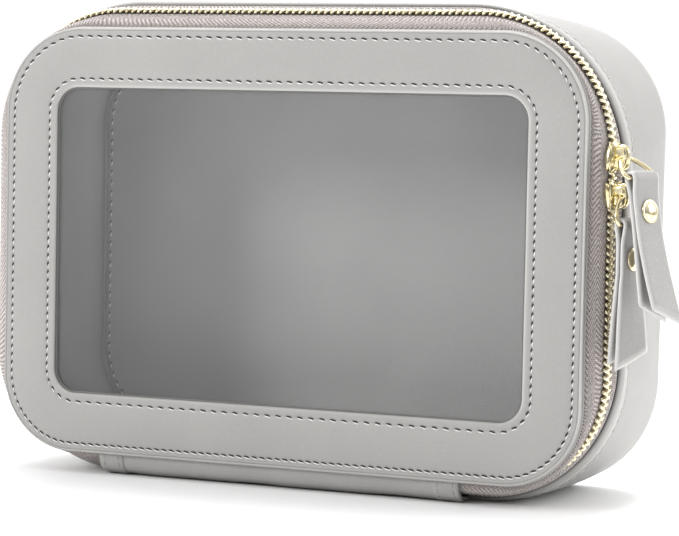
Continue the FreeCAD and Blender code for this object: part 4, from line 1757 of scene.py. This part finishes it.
# ------------------------------------------------------------------ sliders and pulls
@dataclass(frozen=True)
class Puller:
    """One slider with its arched bridge, wire link, folded leather pull and rivet.

    Nose is the end where the slider's blade is: -1 below, 1 above. The link and the pull are drawn
    hanging below a bar, facing their own x, and then leaned out and turned.
    """

    name: str
    nose: float
    tilt: float
    link_tilt: float
    lean: float
    spread: float
    curl: float
    twist: float = 0.0
    plate: float = 1.3
    plate_lift: float = 1.35
    length: float = 10.2
    bridge_width: float = 2.5
    bridge_rise: float = 4.6
    bridge_bar: float = 0.62
    wire: float = 0.74
    slant_to: float = 1.0
    link_drop: float = 9.5
    width: float = 12.6
    leather: float = 1.55
    pull_length: float = 47.0
    slant: float = 6.0
    shortfall: float = 1.5
    overrun: float = 4.0
    painted_edge: float = 0.55
    parting: float = 15.0
    waist: float = 5.0
    rivet_drop: float = 11.0
    rivet_radius: float = 3.9

    def build(self, wear: Wardrobe) -> None:
        """Make and dress all pieces of the pull.

        Args:
            wear: The finishes.
        """
        plate = ("slider_body", "slider_bridge")
        heads = ("rivet_cap", "rivet_base")
        rows = (
            ("slider", "slider_metal", self.slider(), wear.metal, Slot.METAL, *plate),
            ("link", "link_wire", self.link(), wear.metal, Slot.METAL, "link"),
            ("pull", "pull_leather", self.strap(), wear.pull, Slot.PULL_LEATHER, "pull_strap"),
            ("pull", "rivet", self.rivet(), wear.rivet, Slot.RIVET, *heads),
        )
        for kind, called, form, finish, slot, *nodes in rows:
            stands_for = [f"{self.name}_{node}" for node in nodes]
            row = (f"{self.name}_{called}", form, finish, slot, *stands_for)
            pieces(Body(f"{self.name}_{kind}"), (row,))

    def joint(self, kind: str) -> dict:
        """The frame's joint of this puller's link or pull."""
        return next(j for j in frame["joints"] if j["name"] == f"{self.name}_{kind}_swing")

    def pivot(self, kind: str) -> Array:
        """A joint's place, in millimetres."""
        return np.array(self.joint(kind)["pos_m"]) / MM

    def yaw(self) -> float:
        """How far the pull is turned about the upright, from its joint's axis."""
        axis = self.joint("pull")["axis"]
        return math.atan2(-axis[0], -axis[1])

    def axes(self, lean: float, yaw: float) -> Array:
        """Own x, y and z of a piece that leans out by an angle and is turned by another.

        Own x is outwards, own y across, and own z up before it leans.

        Args:
            lean: How far it leans, in degrees.
            yaw: How far it is turned about the upright, in radians.

        Returns:
            The three directions as rows.
        """
        out = np.array([math.cos(yaw), -math.sin(yaw), 0.0])
        across = np.array([math.sin(yaw), math.cos(yaw), 0.0])
        up = np.array([0.0, 0.0, 1.0])
        turn = math.radians(lean)
        return np.stack(
            [
                out * math.cos(turn) + up * math.sin(turn),
                across,
                up * math.cos(turn) - out * math.sin(turn),
            ]
        )

    def slider(self) -> Form:
        """Domed two-lobed plate, side flanges and arched bridge, square to the tilted zip."""
        turn = math.radians(self.tilt)
        out = np.array([math.cos(turn), -math.sin(turn), 0.0])
        across = np.array([math.sin(turn), math.cos(turn), 0.0])
        axes = np.stack([out, across, np.array([0.0, 0.0, 1.0])])
        height = self.pivot("link")[2]
        origin = np.array([CHAIN.half_width, float(depth(CHAIN_SET_BACK + 0.5)), height])
        return merged([self.top_plate(), *self.flanges(), *self.bridge()]).turned(axes, origin)

    def plan(self, count: int) -> Array:
        """Outline of the plate as (across, along): narrow tail, two lobes at the nose.

        Both coordinates are powers of a cosine and a sine, and the width also grows towards the
        nose. The nose end dips between its lobes by a parabola.

        Args:
            count: Points round it.

        Returns:
            Points as (count, 2).
        """
        angle = np.arange(count) * math.tau / count
        along = np.sin(angle)
        wide = np.sign(np.cos(angle)) * np.abs(np.cos(angle)) ** 0.55
        half = 3.6 + 0.75 * along
        dip = 0.9 * np.clip(1.0 - (wide / 0.55) ** 2, 0.0, 1.0) * (along > 0.3)
        reach = np.sign(along) * np.abs(along) ** 0.7 * self.length / 2 - dip
        return np.stack([wide * half, reach * self.nose], axis=1)

    def top_plate(self) -> Form:
        """Plate with a domed top: nested outlines whose height falls as the fifth power."""
        plan = self.plan(48)
        shares = np.array([0.05, 0.35, 0.6, 0.78, 0.9, 0.97, 1.0])
        tops = self.plate_lift + self.plate * (1.0 - 0.75 * shares**5)
        rows = list(zip(shares, tops))
        rows += [(1.0, self.plate_lift + 0.1), (0.94, self.plate_lift - 0.05)]
        rows.append((0.05, self.plate_lift))
        grid = np.stack(
            [np.column_stack([np.full(48, lift), plan * share]) for share, lift in rows], axis=1
        )
        return skinned(grid, ends=Ends.ACROSS)

    def flanges(self) -> list[Form]:
        """Curled side walls of the slider, which wrap down round the zip."""
        share = np.linspace(-1.0, 1.0, 15)
        made = []
        for side in (-1.0, 1.0):
            bow = side * (3.75 + 0.6 * share - 0.5 * share**2)
            path = np.stack(
                [np.full(15, self.plate_lift - 0.25), bow, share * self.length * 0.4 * self.nose],
                axis=1,
            )
            tall = 1.15 * np.clip(1.0 - share**4, 0.25, 1.0)
            made.append(tube(path, np.array([1.0, 0.0, 0.0]), tall, 0.5, 10, False))
        return made

    def bridge(self) -> list[Form]:
        """Arched bar over the plate: a superellipse from tail to nose, thickest at its feet."""
        angle = np.linspace(0.0, math.pi, 29)
        reach = self.length / 2 - 1.35
        along = np.sign(np.cos(angle)) * np.abs(np.cos(angle)) ** 0.6 * reach
        rise = np.sin(angle) ** 0.55 * (self.bridge_rise - self.bridge_bar)
        base = self.plate_lift + self.plate * 0.8
        path = np.stack([base + rise, np.zeros(29), along], axis=1)
        wide = self.bridge_width / 2 * (0.86 + 0.22 * np.abs(np.cos(angle)) ** 3)
        arch = tube(path, np.array([0.0, 1.0, 0.0]), wide, self.bridge_bar, 14, False)
        bar = lump(2.4, 3.0, 1.5, 8, 14).turned(np.eye(3), np.array([base + 0.1, 0.0, reach - 0.1]))
        other = bar.moved(np.array([0.0, 0.0, -2 * reach + 0.2]))
        return [arch, bar, other]

    def link(self) -> Form:
        """Wire link: a closed loop, narrow in the bridge and wide at its bar.

        Its corners are rounded by cutting them three times, each cut at a quarter and three
        quarters of every side.
        """
        wide = self.width / 2 + self.wire + 0.3
        narrow = self.bridge_width / 2 + self.wire
        right = [(wide - 2.2, -self.link_drop), (wide, -self.link_drop)]
        right += [(wide, -self.waist), (narrow, 0.25)]
        left = [(-x, z) for x, z in right[::-1]]
        loop = np.array(left[2:] + right + left[:2])
        for _ in range(3):
            following = np.roll(loop, -1, axis=0)
            cut = [loop * 0.75 + following * 0.25, loop * 0.25 + following * 0.75]
            loop = np.stack(cut, axis=1).reshape(-1, 2)
        path = np.column_stack([np.zeros(len(loop)), loop])
        rod = tube(path, np.array([1.0, 0.0, 0.0]), self.wire, self.wire, 12, True)
        return rod.turned(self.axes(self.link_tilt, self.yaw()), self.pivot("link"))

    def middle(self) -> Array:
        """Middle line of the folded strap as (out, up), from the inner end, over the bar, out.

        The fold is nearly a half circle. Below it both layers close up, run together past the
        rivet and part again, the outer one curling away by the square of the distance.
        """
        pinch = self.leather / 2 + 0.06
        loop = self.wire + 0.2 + self.leather / 2
        fall = np.linspace(0.0, 1.0, 40) ** 0.8 * (self.pull_length + self.overrun)
        close = pinch + (loop - pinch) * np.exp(-((fall / 3.4) ** 2))
        part = np.clip(fall - self.parting, 0.0, None) / (self.pull_length - self.parting)
        outer = close + self.spread * part**1.5 + self.curl * part**2
        inner = -close - 0.25 * self.spread * part**1.4 + 0.25 * self.curl * part**2
        angle = np.radians(np.linspace(170.0, 10.0, 13))
        fold = np.stack([loop * np.cos(angle), loop * np.sin(angle)], axis=1)
        left = np.stack([inner, -fall], axis=1)[::-1]
        return np.vstack([left, fold, np.stack([outer, -fall], axis=1)])

    def strap(self) -> Form:
        """Leather strap: an oblong section with rounded, painted edges along the middle line.

        Both ends are cut on a slant: the distance at which each edge of the section starts and
        stops depends on its place across.
        """
        line = self.middle()
        far = distances_along(line)
        run = unit(np.gradient(line, axis=0))
        normal = np.stack([-run[:, 1], run[:, 0]], axis=1)
        half, thick = self.width / 2, self.leather / 2
        across = np.concatenate([np.linspace(-1.0, 1.0, 13), np.linspace(1.0, -1.0, 13)])
        sides = np.concatenate([np.ones(13), -np.ones(13)])
        rim = self.painted_edge
        edge = np.clip((np.abs(across) * half - (half - rim)) / rim, 0.0, 1.0)
        level = sides * thick * np.sqrt(np.clip(1.0 - 0.85 * edge**2, 0.0, 1.0))
        place = across * (half - 0.12 * (1.0 - edge))
        cut = self.slant * (0.5 - self.slant_to * place / self.width)
        first = self.overrun + self.shortfall + cut
        last = far[-1] - self.overrun - cut
        near_ends = [0.0, 0.004, 0.012], [0.988, 0.996, 1.0]
        share = np.concatenate([near_ends[0], np.linspace(0.03, 0.97, 88), near_ends[1]])
        at = first[None, :] + (last - first)[None, :] * share[:, None]
        ease = np.sqrt(np.clip(np.minimum(share, 1.0 - share) / 0.012, 0.12, 1.0))
        push = level[None, :] * ease[:, None]
        spot = looked_up(at, far, line) + push[..., None] * looked_up(at, far, normal)
        grid = np.stack([spot[..., 0], np.broadcast_to(place, at.shape), spot[..., 1]], axis=-1)
        end = np.clip(1.0 - np.minimum(share, 1.0 - share) / 0.02, 0.0, 1.0)
        wear = np.maximum(edge[None, :], end[:, None])
        form = skinned(grid, closed=False, ends=Ends.ALONG, tags={"wear": wear})
        form.points[:, 0] += 0.06 * ripple(form.points, 16.0, self.tilt)
        fall = np.clip(-form.points[:, 2] - self.rivet_drop - 5.0, 0.0, None)
        turn = np.radians(self.twist) * np.clip(fall / 26.0, 0.0, 1.2)
        out, side = form.points[:, 0].copy(), form.points[:, 1].copy()
        form.points[:, 0] = out * np.cos(turn) + side * np.sin(turn)
        form.points[:, 1] = side * np.cos(turn) - out * np.sin(turn)
        return form.turned(self.axes(self.lean, self.yaw()), self.pivot("pull"))

    def rivet(self) -> Form:
        """Rivet: domed cap with a flat rim, and a flat back head, both turned about one axis."""
        face = self.leather + 0.12
        radius = self.rivet_radius
        cap = [(0.0, 1.55), (0.3, 1.53), (0.55, 1.35), (0.74, 1.0), (0.82, 0.72), (0.86, 0.62)]
        cap += [(0.92, 0.68), (0.97, 0.6), (1.0, 0.4), (0.99, 0.1), (0.9, -0.2), (0.0, -0.25)]
        base = [(0.0, 0.85), (0.7, 0.82), (0.92, 0.7), (1.0, 0.45), (0.98, 0.1)]
        base += [(0.9, -0.2), (0.0, -0.2)]
        heads = []
        for profile, side in ((cap, 1.0), (base, -1.0)):
            angle = np.arange(40) * math.tau / 40
            size = np.maximum(np.array([r for r, _ in profile]), 0.02) * radius
            lift = np.array([h for _, h in profile])
            grid = np.stack(
                [
                    np.broadcast_to(side * (face + lift), (40, len(profile))),
                    np.cos(angle)[:, None] * size,
                    np.sin(angle)[:, None] * size - self.rivet_drop,
                ],
                axis=-1,
            )
            heads.append(skinned(grid, ends=Ends.ACROSS))
        return merged(heads).turned(self.axes(self.lean, self.yaw()), self.pivot("pull"))


# ------------------------------------------------------------------ studio
@dataclass(frozen=True)
class Lamp:
    """A square soft light that faces a point on the case."""

    name: str
    place: tuple[float, float, float]
    size: float
    power: float
    colour: Colour = (1.0, 1.0, 1.0)
    target: tuple[float, float, float] = (0.0, 0.0, 0.08)

    def build(self) -> None:
        """Make the light."""
        data = bpy.data.lights.new(self.name, "AREA")
        data.shape = "SQUARE"
        data.size = self.size
        data.energy = self.power
        data.color = self.colour
        lamp = bpy.data.objects.new(self.name, data)
        bpy.context.scene.collection.objects.link(lamp)
        away = np.array(self.place) - np.array(self.target)
        away /= np.linalg.norm(away)
        right = np.cross([0.0, 0.0, 1.0], away)
        right /= np.linalg.norm(right)
        lamp.matrix_world = placed(right, np.cross(away, right), away, self.place)


def placed(right: Array, up: Array, back: Array, place: Sequence[float]) -> Matrix:
    """The matrix that puts an object at a place.

    Args:
        right: Direction of its own x.
        up: Direction of its own y.
        back: Direction of its own z.
        place: Where its origin goes.

    Returns:
        The matrix.
    """
    matrix = np.eye(4)
    matrix[:3, 0], matrix[:3, 1], matrix[:3, 2], matrix[:3, 3] = right, up, back, place
    return Matrix(matrix.tolist())


@dataclass(frozen=True)
class Studio:
    """Pale floor, plain soft lights and the camera, in metres."""

    eye: tuple[float, float, float] = (0.388894, -0.85747, 0.133563)
    yaw: float = 0.42
    pitch: float = 0.063
    roll: float = 0.020
    lens: float = 142.67
    sky_behind: float = 0.26
    sky_ahead: float = 1.04
    sky_overhead: float = 0.75

    def build(self) -> None:
        """Make the floor, the sky, the lights and the camera."""
        self.floor()
        world = bpy.data.worlds.new("studio_sky")
        bpy.context.scene.world = world
        world.use_nodes = True
        self.sky(world.node_tree)
        for lamp in (
            Lamp("right_softbox", (1.35, 0.6, 0.75), 0.9, 9.5),
            Lamp("left_softbox", (-1.8, -2.1, 1.3), 0.9, 40.0),
            Lamp("top_softbox", (-0.15, 0.5, 1.35), 0.8, 19.0),
        ):
            lamp.build()
        self.camera()
        bpy.context.scene.view_settings.view_transform = "Standard"

    def sky(self, tree: bpy.types.NodeTree) -> None:
        """White sky: dimmer behind the camera than ahead of it, and brighter overhead.

        Args:
            tree: The sky's nodes.
        """
        def add(kind: str, operation: str, *values: object) -> object:
            """Add a math node.

            Args:
                kind: Its type.
                operation: What it does.
                *values: Its inputs, in order.

            Returns:
                The node.
            """
            made = tree.nodes.new("ShaderNode" + kind)
            made.operation = operation
            for socket, value in zip(made.inputs, values):
                if isinstance(value, bpy.types.NodeSocket):
                    tree.links.new(value, socket)
                else:
                    socket.default_value = value
            return made

        toward = tree.nodes.new("ShaderNodeTexCoord").outputs["Generated"]
        ahead = (-math.sin(self.yaw), math.cos(self.yaw), 0.0)
        facing = add("VectorMath", "DOT_PRODUCT", toward, ahead).outputs["Value"]
        height = add("VectorMath", "DOT_PRODUCT", toward, (0.0, 0.0, 1.0)).outputs["Value"]
        half = (self.sky_ahead - self.sky_behind) / 2
        level = add("Math", "MULTIPLY_ADD", facing, half, self.sky_behind + half).outputs[0]
        rise = add("Math", "MAXIMUM", height, 0.0).outputs[0]
        total = add("Math", "MULTIPLY_ADD", rise, self.sky_overhead, level).outputs[0]
        background = tree.nodes["Background"]
        background.inputs["Color"].default_value = (1.0, 1.0, 1.0, 1.0)
        tree.links.new(total, background.inputs["Strength"])

    def floor(self) -> None:
        """A flat round card, one fan of triangles about its middle."""
        angle = np.arange(96) * math.tau / 96
        rim = np.stack([6.0 * np.cos(angle), 6.0 * np.sin(angle), np.zeros(96)], axis=1)
        mesh = bpy.data.meshes.new("floor_card")
        fan = [[0, k + 1, (k + 1) % 96 + 1] for k in range(96)]
        mesh.from_pydata(np.vstack([np.zeros((1, 3)), rim]).tolist(), [], fan)
        mesh.materials.append(Card("floor_card", (0.93, 0.93, 0.93)).material())
        floor = bpy.data.objects.new("floor_card", mesh)
        bpy.context.scene.collection.objects.link(floor)

    def camera(self) -> None:
        """The camera, turned by its yaw, then down by its pitch, then by its roll."""
        data = bpy.data.cameras.new("camera")
        data.sensor_width = 36.0
        data.lens = self.lens
        data.clip_start, data.clip_end = 0.05, 60.0
        camera = bpy.data.objects.new("camera", data)
        bpy.context.scene.collection.objects.link(camera)
        yaw, pitch, roll = self.yaw, self.pitch, self.roll
        ahead = np.array(
            [-math.sin(yaw) * math.cos(pitch), math.cos(yaw) * math.cos(pitch), -math.sin(pitch)]
        )
        right = np.array([math.cos(yaw), math.sin(yaw), 0.0])
        up = np.cross(right, ahead)
        turned = right * math.cos(roll) + up * math.sin(roll)
        camera.matrix_world = placed(
            turned, up * math.cos(roll) - right * math.sin(roll), -ahead, self.eye
        )
        bpy.context.scene.camera = camera


def main() -> None:
    """Build every part of the case in order, then the studio."""
    logging.basicConfig(level=logging.INFO, format="%(name)s %(message)s")
    wear = wardrobe()
    box = Box()
    LidPanel().build(wear)
    Window().build(wear)
    Zip().build(wear)
    box.build(wear)
    Interior().build(wear, box)
    Hinge().build(wear)
    Puller("upper", -1.0, 18.0, 48.0, 9.5, 3.4, 1.2, twist=2.0, pull_length=48.5).build(wear)
    Puller("lower", 1.0, 18.0, 14.0, 0.0, 2.2, 0.5, twist=24.0, slant_to=-1.0).build(wear)
    Studio().build()


if __name__ == "__main__":
    main()
